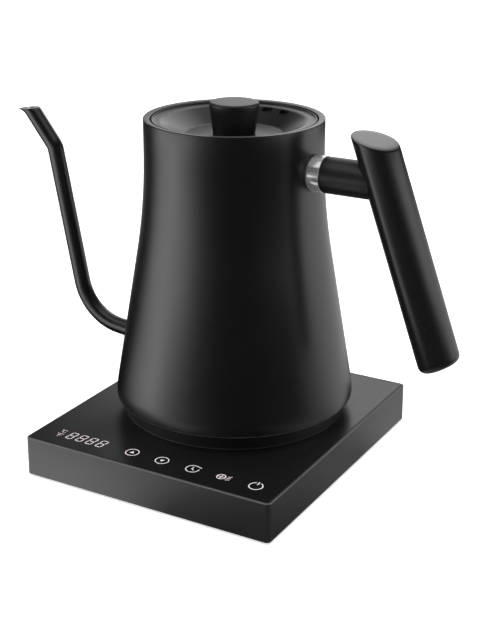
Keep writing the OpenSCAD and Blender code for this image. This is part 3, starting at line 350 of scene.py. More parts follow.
def painted_edge_highlight(f, base, edge):
    """The colour base, paler along one level edge: a painted highlight line where the edge would catch light:
    (low, high, tone).
    """
    if edge is None:
        return base
    low, high, tone = edge
    fade = 0.0002
    z = f.split()[2]
    # Painted highlight: the noise only makes the light line uneven along its length.
    highlight_breakup = f.noise(90.0, 3.0).step(0.2, 0.6) * 0.35 + 0.65
    return f.mix(z.step(low - fade, low) * (1.0 - z.step(high, high + fade)) * highlight_breakup, base, tone)


def painted_face_highlight(f, base, plane):
    """The colour base, paler on the face that a plane cuts: a painted highlight where that face would catch
    light: (normal, level, tone).
    """
    if plane is None:
        return base
    normal, level, tone = plane
    x, y, z = f.split()
    height = x * normal.x + y * normal.y + z * normal.z
    return f.mix(height.step(level - 0.0009, level - 0.0002), base, tone)


def painted(name, tone, rough, level, peel, depth, edge=None):
    """Satin powder coat: soft orange peel, fine grain and barely uneven gloss, with a painted highlight line
    where edge is given.
    """
    f = Finish(name, IOR=1.5, Specular_IOR_Level=level)
    cloud = f.noise(28.0, 3.0)
    grain = f.noise(peel, 2.0, 0.6)
    fleck = f.cells(peel * 2.6)
    f.set(Base_Color=painted_edge_highlight(f, f.mix(cloud.step(0.3, 0.7), tint(tone, 0.86), tint(tone, 1.16)), edge),
        Roughness=rough + (cloud - 0.5) * 0.05 + (grain - 0.5) * 0.10,
        Normal=f.bump(grain * 0.8 + fleck * 0.2, depth))
    return f.material


def moulded(name, tone, rough, level, grain_scale, depth, edge=None, plane=None):
    """Moulded plastic with a fine spark-eroded grain, with a painted highlight line where edge is given and a
    painted highlight face where plane is given.
    """
    f = Finish(name, IOR=1.5, Specular_IOR_Level=level)
    cloud = f.noise(40.0, 2.0)
    pits = f.cells(grain_scale)
    fine = f.noise(grain_scale * 0.7, 3.0, 0.65)
    base = painted_face_highlight(f, f.mix(pits.step(0.1, 0.7), tint(tone, 0.82), tint(tone, 1.12)), plane)
    f.set(Base_Color=painted_edge_highlight(f, base, edge), Roughness=rough + (cloud - 0.5) * 0.06 + (fine - 0.5) * 0.12,
        Normal=f.bump(pits * 0.5 + fine * 0.5, depth))
    return f.material


def brushed(name, tone, rough):
    """Sheet steel brushed round the kettle's axis, with the dull skin that pressing leaves."""
    f = Finish(name, Metallic=0.75, Specular_IOR_Level=0.5)
    lines = f.noise(1.0, 3.0, 0.7, at=f.round_axis(9.0, 4200.0, 4200.0))
    cloud = f.noise(30.0, 2.0)
    f.set(Base_Color=f.mix(lines.step(0.25, 0.75), tint(tone, 0.88), tint(tone, 1.08)),
        Roughness=rough + (lines - 0.5) * 0.16 + (cloud - 0.5) * 0.08,
        Normal=f.bump(lines, 0.000012))
    return f.material


def turned(name, tone, rough, metal=1.0):
    """Metal turned on a lathe about X: fine grooves, and a blasted skin where metal is below 1."""
    f = Finish(name, Metallic=metal)
    groove = f.noise(1.0, 2.0, 0.6, at=f.stretched(9000.0, 60.0, 60.0))
    smear = f.noise(1.0, 2.0, at=f.stretched(300.0, 90.0, 90.0))
    f.set(Base_Color=f.mix(smear.step(0.3, 0.7), tint(tone, 0.93), tone),
        Roughness=rough + (smear - 0.5) * 0.05 + (groove - 0.5) * 0.06,
        Normal=f.bump(groove, 0.000004))
    return f.material


def plated(name, tone, rough):
    """Zinc plated steel: faint blotches and tool marks."""
    f = Finish(name, Metallic=1.0)
    blotch = f.noise(700.0, 3.0)
    f.set(Base_Color=f.mix(blotch.step(0.35, 0.7), tint(tone, 0.8), tint(tone, 1.1)),
        Roughness=rough + (blotch - 0.5) * 0.2, Normal=f.bump(blotch, 0.00001))
    return f.material


def cast(name, tone, rough):
    """Cast or pressed alloy with a dull skin."""
    f = Finish(name, Metallic=1.0)
    skin = f.noise(900.0, 4.0, 0.7)
    cloud = f.noise(60.0, 2.0)
    f.set(Base_Color=f.mix(cloud.step(0.3, 0.7), tint(tone, 0.82), tint(tone, 1.05)),
        Roughness=rough + (skin - 0.5) * 0.2, Normal=f.bump(skin, 0.00004))
    return f.material


def contact_metal(name, tone):
    """Brass that darkens where nothing rubs it."""
    f = Finish(name, Metallic=1.0)
    tarnish = f.noise(260.0, 4.0, 0.6).step(0.42, 0.75)
    lines = f.noise(1.0, 2.0, at=f.round_axis(5.0, 3000.0, 3000.0))
    f.set(Base_Color=f.mix(tarnish, tone, (tone[0] * 0.55, tone[1] * 0.42, tone[2] * 0.4)),
        Roughness=0.24 + tarnish * 0.2 + (lines - 0.5) * 0.1, Normal=f.bump(lines, 0.000008))
    return f.material


def soft_rubber(name, tone, rough=0.72):
    """Moulded rubber or silicone with a dusty bloom."""
    f = Finish(name, Specular_IOR_Level=0.4)
    bloom = f.noise(180.0, 4.0, 0.65)
    fine = f.noise(2600.0, 2.0)
    f.set(Base_Color=f.mix(bloom.step(0.35, 0.8), tone, tint(tone, 1.45)),
        Roughness=rough + (bloom - 0.5) * 0.15, Normal=f.bump(fine, 0.00002))
    return f.material


def circuit(name, tone):
    """Solder mask with tracks and rows of tinned pads."""
    f = Finish(name, Specular_IOR_Level=0.5)
    tracks, pads = 420.0, 394.0  # in each metre
    x, y = f.split()[:2]
    wander = (f.noise(45.0, 0.0) - 0.5) * 0.012
    track = (((y + wander) * tracks).math("FRACT") - 0.5).math("ABSOLUTE").step(0.17, 0.22)
    cell_x = (x * pads).math("FRACT") - 0.5
    cell_y = (y * pads).math("FRACT") - 0.5
    pad = 1.0 - (cell_x * cell_x + cell_y * cell_y).math("SQRT").step(0.22, 0.28)
    row = f.noise(70.0, 0.0).step(0.56, 0.6)
    tin = pad * row
    mask = f.mix(track, tint(tone, 1.7), tone)
    f.set(Base_Color=f.mix(tin, mask, (0.62, 0.61, 0.57)), Metallic=tin,
        Roughness=0.38 - tin * 0.1, Normal=f.bump(tin * 0.6 + (1.0 - track) * 0.4, 0.00004))
    return f.material


def striped(name, tone, pitch):
    """Flat cable: side by side cores under one sheath."""
    f = Finish(name, Roughness=0.5)
    core = ((f.split()[0] / pitch).math("FRACT") - 0.5).math("ABSOLUTE") * 2.0
    f.set(Base_Color=f.mix(core.step(0.7, 0.95), tone, tint(tone, 0.35)),
        Normal=f.bump(1.0 - core * core, 0.00035))
    return f.material


def wound(name, tone, pitch):
    """Taped core with fine windings along X."""
    f = Finish(name, Specular_IOR_Level=0.5)
    turnings = ((f.split()[0] / pitch).math("FRACT") - 0.5).math("ABSOLUTE") * 2.0
    tape = f.noise(150.0, 2.0).step(0.4, 0.6)
    f.set(Base_Color=f.mix(tape, tone, tint(tone, 0.72)), Roughness=0.42 + tape * 0.15,
        Normal=f.bump(turnings, 0.0001))
    return f.material


def lit_sign(name, tone, strength):
    """Light guide flush in the plate, lit softly from below: dimmest at the unit sign and
    brightest at the switch."""
    f = Finish(name, Roughness=0.42, Specular_IOR_Level=0.4, Emission_Strength=strength)
    unit_sign, switch = -0.056, 0.044  # sides where the light changes
    x = f.split()[0]
    dim = (tone[0] * 0.45, tone[1] * 0.33, tone[2] * 0.33)
    near = f.mix(x.step(unit_sign, unit_sign + 0.0025), dim, tone)
    near = f.mix(x.step(switch, switch + 0.006), near, (0.95, 0.93, 0.93))
    light = f.mix(f.noise(900.0, 2.0).step(0.25, 0.8), tint(tone, 0.8), near)
    f.set(Base_Color=light, Emission_Color=light)
    return f.material


def speckled(name, tone, rough):
    """Ceramic or potting compound with dark specks."""
    f = Finish(name, Specular_IOR_Level=0.5)
    speck = f.cells(1500.0).step(0.1, 0.22)
    cloud = f.noise(200.0, 3.0)
    f.set(Base_Color=f.mix(speck, tint(tone, 0.45), tone), Roughness=rough + (cloud - 0.5) * 0.2,
        Normal=f.bump(cloud, 0.00003))
    return f.material


def shade(name):
    """One of the colours of the panel, as plain numbers."""
    return tuple(getattr(bpy.context.scene.kettle_colours, name))


def make_finishes():
    """One material for each finish of the kettle, by its slot."""
    scene = bpy.context.scene
    top = scene.kettle_base.top
    hem = top + scene.kettle_body.low_k
    # Painted highlight lines: paler bands where the shell's bottom edge, the housing's top edge and the
    # foot's bottom edge would catch light.
    hem_highlight = (hem, hem + 0.0008, (0.11, 0.11, 0.112))
    plate_edge_highlight = (top - 0.0006, top - 0.0002, (0.085, 0.085, 0.087))
    foot_edge_highlight = (top + 0.0001, top + 0.0007, (0.08, 0.08, 0.082))
    # Painted highlight: the grip's top face is given a paler colour where light would fall on it.
    top_face_highlight = (*grip_top(scene.kettle_handle), (0.085, 0.085, 0.086))
    return {
        "body_paint": painted("satin_coat", shade("coat"), 0.30, 1.0, 1500.0, 0.000010, hem_highlight),
        "lid_paint": painted("lid_coat", shade("coat"), 0.30, 1.0, 1500.0, 0.000010),
        "base_shell": moulded("housing_plastic", shade("housing"), 0.42, 1.0, 2600.0, 0.000030, plate_edge_highlight),
        "top_plate": moulded("plate_plastic", shade("plate"), 0.30, 0.75, 3200.0, 0.000008),
        "grip_plastic": moulded("grip_plastic", shade("grip"), 0.25, 0.8, 3000.0, 0.000006, plane=top_face_highlight),
        "stem_plastic": moulded("stem_plastic", shade("grip"), 0.40, 0.8, 3000.0, 0.000012),
        "knob_plastic": moulded("knob_plastic", shade("grip"), 0.36, 1.0, 3000.0, 0.000014),
        "foot_plastic": moulded("foot_plastic", shade("foot"), 0.40, 0.7, 2600.0, 0.000020, foot_edge_highlight),
        "cover_plastic": moulded("cover_plastic", shade("foot"), 0.58, 0.5, 1500.0, 0.000060),
        "connector_plastic": moulded("connector_plastic", shade("connector"), 0.46, 0.5, 2200.0, 0.000020),
        "marks": lit_sign("sign_light", shade("sign"), 0.22),
        "display": speckled("potted_display", (0.60, 0.58, 0.54), 0.4),
        "circuit_board": circuit("board_mask", shade("board")),
        "touch_pad": soft_rubber("pad_foam", (0.045, 0.045, 0.05)),
        "relay_case": moulded("relay_case", (0.035, 0.09, 0.30), 0.32, 0.5, 2600.0, 0.00001),
        "film_capacitor": speckled("dipped_case", (0.55, 0.36, 0.03), 0.3),
        "transformer_core": wound("wound_core", (0.46, 0.36, 0.10), 0.0006),
        "capacitor_can": moulded("can_sleeve", (0.04, 0.04, 0.075), 0.28, 0.5, 900.0, 0.00001),
        "buzzer_case": moulded("buzzer_case", (0.014, 0.014, 0.014), 0.5, 0.5, 2000.0, 0.00003),
        "terminal_case": moulded("terminal_case", (0.03, 0.15, 0.06), 0.42, 0.5, 2000.0, 0.00002),
        "ribbon": striped("flat_cable", (0.34, 0.35, 0.37), 0.00127),
        "screw": plated("zinc_screw", (0.56, 0.57, 0.58), 0.32),
        "contact_brass": contact_metal("contact_brass", shade("brass")),
        "seal_rubber": soft_rubber("red_seal", (0.26, 0.035, 0.03)),
        "gland_rubber": soft_rubber("gland_rubber", shade("rubber")),
        "foot_rubber": soft_rubber("foot_rubber", shade("rubber"), 0.8),
        "clear_seal": soft_rubber("probe_silicone", shade("silicone"), 0.45),
        "gasket_rubber": soft_rubber("gasket_silicone", (0.15, 0.15, 0.16), 0.5),
        "inner_steel": brushed("inner_steel", shade("steel"), 0.26),
        "probe_steel": brushed("probe_steel", shade("steel"), 0.16),
        "stud_steel": turned("stud_steel", (0.50, 0.50, 0.51), 0.3),
        "ferrule_chrome": turned("ferrule_satin", shade("chrome"), 0.14, 0.80),
        "heater_alloy": cast("heater_alloy", (0.66, 0.66, 0.67), 0.42),
        "element_sheath": cast("element_sheath", (0.34, 0.33, 0.33), 0.5),
        "ceramic": speckled("ceramic", (0.72, 0.68, 0.60), 0.28),
    }


FINISHES = {}


def finish_of(slot):
    """The finish of a material slot, made at its first use."""
    if not FINISHES:
        FINISHES.update(make_finishes())
    return FINISHES[slot]


# ==================== Mesh ====================

CLEAR = 0.00005  # between pieces that fit
PAST = 0.001  # how far a cutter reaches past what it opens


def arc(cx, cy, radius, start, end, steps):
    """Points on an arc; angles in radians."""
    return [(cx + radius * math.cos(start + (end - start) * i / steps),
        cy + radius * math.sin(start + (end - start) * i / steps)) for i in range(steps + 1)]


def loft(bm, rings, closed=False, cap=(False, False), coat=None):
    """Joins rings of points, each as long as the next, with quads. coat(i) gives
    the finish of the band between ring i and ring i + 1."""
    made = [[bm.verts.new(p) for p in ring] for ring in rings]
    pairs = list(zip(made, made[1:])) + ([(made[-1], made[0])] if closed else [])
    for i, (a, b) in enumerate(pairs):
        n = len(a)
        for j in range(n):
            face = bm.faces.new((a[j], a[(j + 1) % n], b[(j + 1) % n], b[j]))
            face.material_index = coat(i) if coat else 0
    for ring, wanted, i in ((made[0], cap[0], 0), (made[-1], cap[1], len(pairs) - 1)):
        if wanted:
            middle = bm.verts.new(sum((v.co for v in ring), Vector()) / len(ring))
            for j in range(len(ring)):
                face = bm.faces.new((ring[j], ring[(j + 1) % len(ring)], middle))
                face.material_index = coat(i) if coat else 0


def turn_rings(profile, segments, frame_of=Matrix.Identity(4)):
    """Rings of a body of revolution about Z from (radius, height) points."""
    turns = [math.tau * j / segments for j in range(segments)]
    return [[frame_of @ Vector((r * math.cos(a), r * math.sin(a), h)) for a in turns] for r, h in profile]


def turn_solid(bm, profile, segments, frame_of=Matrix.Identity(4), coat=None):
    """Body of revolution. A profile that starts or ends on the axis is capped
    there, and any other is closed back to its first point."""
    first, last = profile[0][0] < 1e-9, profile[-1][0] < 1e-9
    inner = profile[1 if first else 0:len(profile) - (1 if last else 0)]
    rings = turn_rings(inner, segments, frame_of)
    loft(bm, rings, closed=not (first or last), cap=(first, last), coat=coat)


def crease(bm, limit=28.0):
    """Smooth faces, with edges sharper than limit degrees kept crisp."""
    bmesh.ops.remove_doubles(bm, verts=bm.verts, dist=1e-7)
    bmesh.ops.recalc_face_normals(bm, faces=bm.faces)
    for face in bm.faces:
        face.smooth = True
    for edge in bm.edges:
        if len(edge.link_faces) == 2:
            edge.smooth = edge.calc_face_angle(0.0) < math.radians(limit)


def piece(name, bm, body, slots, nodes, cutters=(), limit=28.0):
    """Links a finished mesh as a piece that rides on a body and stands for nodes."""
    crease(bm, limit)
    mesh = bpy.data.meshes.new(name)
    bm.to_mesh(mesh)
    bm.free()
    for slot in slots:
        mesh.materials.append(finish_of(slot))
    obj = bpy.data.objects.new(name, mesh)
    bpy.context.scene.collection.objects.link(obj)
    for cutter in cutters:
        cut_away(obj, cutter, limit)
    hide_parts(*nodes)
    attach(obj, body)
    return obj


def cut_away(obj, cutter, limit):
    """Takes a closed mesh out of obj for good."""
    bmesh.ops.recalc_face_normals(cutter, faces=cutter.faces)
    mesh = bpy.data.meshes.new("cutter")
    cutter.to_mesh(mesh)
    cutter.free()
    tool = bpy.data.objects.new("cutter", mesh)
    bpy.context.scene.collection.objects.link(tool)
    step = obj.modifiers.new("cut", "BOOLEAN")
    step.operation, step.solver, step.object = "DIFFERENCE", "EXACT", tool
    seen = obj.evaluated_get(bpy.context.evaluated_depsgraph_get())
    result = bpy.data.meshes.new_from_object(seen)
    obj.modifiers.clear()
    obj.data = result
    result.name = obj.name
    bpy.data.objects.remove(tool)
    bm = bmesh.new()
    bm.from_mesh(result)
    crease(bm, limit)
    bm.to_mesh(result)
    bm.free()


def rod(start, end, radius, segments=64):
    """Closed cylinder between two points."""
    bm = bmesh.new()
    along = Vector(end) - Vector(start)
    way = Matrix.Translation(Vector(start)) @ along.to_track_quat("Z", "Y").to_matrix().to_4x4()
    turn_solid(bm, [(0.0, 0.0), (radius, 0.0), (radius, along.length), (0.0, along.length)], segments, way)
    return bm


def kettle_frame():
    """The kettle's own frame: its axis, with height 0 on the top plate."""
    s = bpy.context.scene
    return Matrix.Translation((0.0, s.kettle_body.axis_y, s.kettle_base.top))


def grip_top(s):
    """The plane of the grip's top face, as its normal and its level along the normal."""
    turn = Matrix.Rotation(-s.lean, 4, "Y")
    normal = (turn @ Vector((math.tan(s.lean + s.top_slope), -math.tan(s.top_roll), 1.0))).normalized()
    middle = kettle_frame() @ (Vector((s.grip_x, 0.0, s.stem_k)) + turn @ Vector((0.0, 0.0, s.up)))
    return normal, normal.dot(middle)


# ==================== Shape of the body ====================

class Shell:
    """Radius of the kettle's shell at any height above the top plate."""

    def __init__(self, s):
        self.s = s
        self.straight_k = s.rim_k - s.neck_height
        self.flare_r = s.neck + s.hollow * (1 - math.cos(s.slope))
        self.flare_k = self.straight_k - s.hollow * math.sin(s.slope)
        self.edge_k = s.low_k + s.edge
        curve_r = self.lower(self.edge_k + s.low_curve * math.sin(s.slope))
        self.wide = curve_r + s.low_curve * (1 - math.cos(s.slope))
        self.foot_r = self.wide - s.setback

    def lower(self, k, off=0.0):
        """Radius of the straight lower side."""
        return self.flare_r + (self.flare_k - k) * math.tan(self.s.slope) - off / math.cos(self.s.slope)

    def radius(self, k, off=0.0):
        """The shell's radius at a height, moved inwards by off."""
        s = self.s
        if k >= self.straight_k:
            return s.neck - off
        if k < self.flare_k:
            return self.lower(k, off)
        return s.neck + s.hollow - math.sqrt((s.hollow + off) ** 2 - (self.straight_k - k) ** 2)

    def side(self, off=0.0):
        """Outline from the bottom edge up to the neck, moved inwards by off."""
        s = self.s
        edge = arc(self.wide - s.edge, self.edge_k, s.edge - off, -math.pi / 2, 0.0, 10)
        edge += arc(self.wide - s.low_curve, self.edge_k, s.low_curve - off, 0.0, s.slope, 14)[1:]
        curve = arc(s.neck + s.hollow, self.straight_k, s.hollow + off, math.pi + s.slope, math.pi, 40)
        low, high = edge[-1], curve[0]
        out, rise = high[0] - low[0], high[1] - low[1]
        run = [(low[0] + out * i / 8, low[1] + rise * i / 8) for i in range(1, 8)]
        return edge + run + curve


class SpoutPath:
    """Middle line of the spout in the upright plane through the kettle's axis."""

    def __init__(self, s, shell):
        self.s = s
        self.start = Vector((-(shell.radius(s.root_k, shell.s.wall) - 0.0006), s.root_k))
        self.root = math.pi - s.root_rise
        self.rise = math.pi / 2 + s.lean
        self.tip = math.pi / 2 + s.tip_lean
        way = lambda a: Vector((math.cos(a), math.sin(a)))
        bend_cut = s.bend * math.tan((self.root - self.rise) / 2)
        knee_cut = s.knee * math.tan((self.tip - self.rise) / 2)
        bend_at = Vector((-s.reach, s.root_k + (s.reach + self.start.x) * math.tan(s.root_rise)))
        knee_at = bend_at + (s.knee_k - bend_at.y) * Vector((-math.tan(s.lean), 1.0))
        self.end = knee_at + (s.tip_k - knee_at.y) * Vector((-math.tan(s.tip_lean), 1.0))
        bend_in = bend_at - bend_cut * way(self.root)
        knee_in = knee_at - knee_cut * way(self.rise)
        self.knee_out = knee_at + knee_cut * way(self.tip)
        bend_mid = bend_in + s.bend * way(self.root - math.pi / 2)
        knee_mid = knee_in + s.knee * way(self.rise + math.pi / 2)
        self.points = []
        for i in range(8):
            self.points.append((self.start.lerp(bend_in, i / 8), self.root))
        for i in range(41):
            a = self.root + (self.rise - self.root) * i / 40
            self.points.append((bend_mid + s.bend * way(a + math.pi / 2), a))
        bend_out = self.points[-1][0]
        for i in range(1, 16):
            self.points.append((bend_out.lerp(knee_in, i / 16), self.rise))
        for i in range(25):
            a = self.rise + (self.tip - self.rise) * i / 24
            self.points.append((knee_mid + s.knee * way(a - math.pi / 2), a))

    def ring(self, at, heading, radius, segments):
        """Ring square to the middle line at a point."""
        side = Vector((-math.sin(heading), math.cos(heading)))
        found = []
        for j in range(segments):
            a = math.tau * j / segments
            p = at + radius * math.cos(a) * side
            found.append(Vector((p.x, radius * math.sin(a), p.y)))
        return found

    def rings(self, radius, segments):
        """Rings from the root to the cut, with the lip drawn out at the tip."""
        s = self.s
        fall = math.tan(s.cut)
        way = Vector((math.cos(self.tip), 0.0, math.sin(self.tip)))
        under_cut = lambda p: s.tip_k - p.z + (p.x - self.end.x) * fall
        made = [self.ring(at, heading, radius, segments) for at, heading in self.points]
        last, steps = made[-1], 30
        for i in range(1, steps + 1):
            ring = []
            for p in last:
                q = p + way * under_cut(p) / (way.z - way.x * fall) * (i / steps)
                near = max(0.0, 1.0 - under_cut(q) / s.lip_length)
                spread = Vector((q.x - self.end.x - (s.tip_k - q.z) * math.tan(s.tip_lean), q.y, 0.0))
                facing = max(0.0, -spread.x / max(spread.length, 1e-9))
                drawn = near ** 2.2 * facing ** 2.0
                q.x -= s.lip * drawn
                q.z -= s.droop * drawn
                ring.append(q)
            made.append(ring)
        return made


# ==================== Lights ====================

# Soft lights, by the property that holds their power: name, degrees to the right of the camera's
# side, degrees above level, distance, width and height.
LAMPS = {
    "left_light": ("left_softbox", -88.0, 16.0, 0.95, 0.62, 0.85),
    "right_light": ("right_softbox", 112.0, 14.0, 1.05, 0.55, 0.8),
    "top_light": ("top_softbox", 0.0, 88.0, 1.5, 1.3, 1.3),
}

# Softboxes that only gloss sees, by height: (first side, last side, strength), with the sides
# in degrees to the right of the camera's side. Each is even between its two sides and fades
# out over FADE degrees beyond them.
TENT_TOP = 4.0
FADE = 20
NEAR_BOXES = ((-80, -45, 1.2), (-20, -20, 0.2), (10, 30, 0.1), (50, 80, 0.3), (100, 120, 0.65),
    (180, 200, 0.45))
LOW_BOXES = ((-90, -75, 1.8), (-20, 40, 0.03), (90, 150, 0.75), (160, 160, 0.4), (180, 200, 0.4))
SKIRT_BOXES = ((-100, -55, 1.9), (-20, 40, 0.03), (80, 115, 1.0))
MIDDLE_BOXES = ((-140, -140, 0.7), (-60, -20, 0.13), (0, 20, 0.03), (55, 90, 1.3), (165, 180, 1.5))
HIGH_BOXES = ((-100, -80, 0.5), (160, 170, 1.4))
ROOF_BOXES = ((-125, 125, 0.65), (160, 180, 0.3))


def glow(boxes, side):
    """Strength of the softboxes towards one side, counted round past the back."""
    total = 0.0
    for first, last, strength in boxes:
        for at in (side - 360, side, side + 360):
            total += strength * max(0.0, min(1.0, (at - first) / FADE + 1.0, (last - at) / FADE + 1.0))
    return total


# ==================== Operators ====================

class KettleOperator:
    """Shared by the kettle's operators: each makes its pieces in one step."""

    bl_options = {"REGISTER", "UNDO"}

    def execute(self, context):
        self.make(context.scene)
        return {"FINISHED"}


class KETTLE_OT_finishes(KettleOperator, bpy.types.Operator):
    """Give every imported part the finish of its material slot"""
    bl_idname = "kettle.finishes"
    bl_label = "Finish the packed parts"

    def make(self, scene):
        slots = {row["node"]: row["material_slot"] for row in frame["record"]["subparts"]}
        for name, obj in frame["nodes"].items():
            mesh = obj.data
            mesh.materials.clear()
            mesh.materials.append(finish_of(slots[name]))
            mesh.polygons.foreach_set("material_index", [0] * len(mesh.polygons))
            mesh.shade_smooth()
            mesh.set_sharp_from_angle(angle=math.radians(26.0))


class KETTLE_OT_housing(KettleOperator, bpy.types.Operator):
    """Build the housing of the power base with its rounded edges"""
    bl_idname = "kettle.housing"
    bl_label = "Base housing"

    def outline(self, s, inset, z):
        """Level ring of the base's plan, moved inwards, with its corners rounded."""
        tightest = 0.0006
        radius = max(s.corner - inset, tightest)
        points = []
        for turn, (sx, sy) in enumerate(((1, -1), (1, 1), (-1, 1), (-1, -1))):
            cx, cy = sx * (s.width / 2 - inset - radius), sy * (s.depth / 2 - inset - radius)
            start = -math.pi / 2 + turn * math.pi / 2
            points += [Vector((x, y, z)) for x, y in arc(cx, cy, radius, start, start + math.pi / 2, 10)]
        return points

    def make(self, scene):
        s, axis_y = scene.kettle_base, scene.kettle_body.axis_y
        deck = s.top - s.plate
        room = deck - s.deck
        soft, crisp = 0.0003, 0.0002
        ring = lambda inset, z: self.outline(s, inset, z)
        rings = [ring(s.wall, room), ring(s.wall, s.low)]
        rings += [ring(soft, s.low), ring(soft / 3, s.low + soft / 3), ring(0.0, s.low + soft)]
        rings += [ring(s.edge * (1 - math.cos(a)), s.top - s.edge + s.edge * math.sin(a))
            for a in [math.pi / 2 * i / 8 for i in range(9)]]
        rings += [ring(s.rim - crisp, s.top), ring(s.rim, s.top - crisp), ring(s.rim, deck)]
        bm = bmesh.new()
        loft(bm, rings, cap=(True, True))
        hole = rod((0, axis_y, room - PAST), (0, axis_y, deck + PAST), s.dome, 96)
        low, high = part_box("cord_gland")
        middle, flange, back = (low + high) / 2, 0.0016, s.depth / 2
        gland = rod((middle.x, back - s.wall - PAST, middle.z), (middle.x, back + PAST, middle.z),
            (high.z - low.z) / 2 - flange + CLEAR, 64)
        piece("housing", bm, "base", ["base_shell"], ["base_housing"], [hole, gland])


class KETTLE_OT_body(KettleOperator, bpy.types.Operator):
    """Build the steel shell with its folded rim and the hole for the spout"""
    bl_idname = "kettle.body"
    bl_label = "Kettle body"

    def make(self, scene):
        s, place = scene.kettle_body, kettle_frame()
        shell = Shell(s)
        fold, turned_in = 0.0004, 0.0015
        inside = s.neck - s.rim_width
        hem = s.rim_k - s.rim_depth
        lip = shell.foot_r - turned_in
        outer = [(lip, s.low_k)] + shell.side() + [(s.neck, shell.straight_k + s.neck_height / 2)]
        outer += arc(s.neck - fold, s.rim_k - fold, fold, 0.0, math.pi / 2, 5)
        outer += arc(inside + fold, s.rim_k - s.rim_fall - fold, fold, math.pi / 2, math.pi, 5)
        outer += [(inside, hem)]
        coated = len(outer)
        inner = shell.side(s.wall)
        profile = outer + [(s.neck - s.wall, hem)] + inner[::-1] + [(lip, s.low_k + s.wall)]
        bm = bmesh.new()
        turn_solid(bm, profile, 192, place, coat=lambda i: 0 if i < coated else 1)
        path = SpoutPath(scene.kettle_spout, shell)
        inward, outward, rise = 0.004, 0.008, math.tan(path.s.root_rise)
        start = place @ Vector((path.start.x + inward, 0, path.start.y - inward * rise))
        end = place @ Vector((path.start.x - outward, 0, path.start.y + outward * rise))
        hole = rod(start, end, scene.kettle_spout.radius + CLEAR, 64)
        piece("body_shell", bm, "kettle", ["body_paint", "inner_steel"], ["kettle_body"], [hole])


class KETTLE_OT_spout(KettleOperator, bpy.types.Operator):
    """Build the bent spout tube with its slanted cut and pouring lip"""
    bl_idname = "kettle.spout"
    bl_label = "Spout"

    def make(self, scene):
        s = scene.kettle_spout
        path = SpoutPath(s, Shell(scene.kettle_body))
        outer = path.rings(s.radius, 64)
        inner = path.rings(s.radius - s.wall, 64)
        middle = [(a + b) / 2 for a, b in zip(outer[-1], inner[-1])]
        outer[-1] = [p + (m - p) * 0.25 for p, m in zip(outer[-1], middle)]
        place, edge = kettle_frame(), len(outer)
        bm = bmesh.new()
        rings = [[place @ p for p in ring] for ring in outer + inner[::-1]]
        loft(bm, rings, closed=True, coat=lambda i: 0 if i < edge - 1 else 1)
        piece("spout", bm, "kettle", ["body_paint", "inner_steel"], ["spout_tube"], limit=50.0)


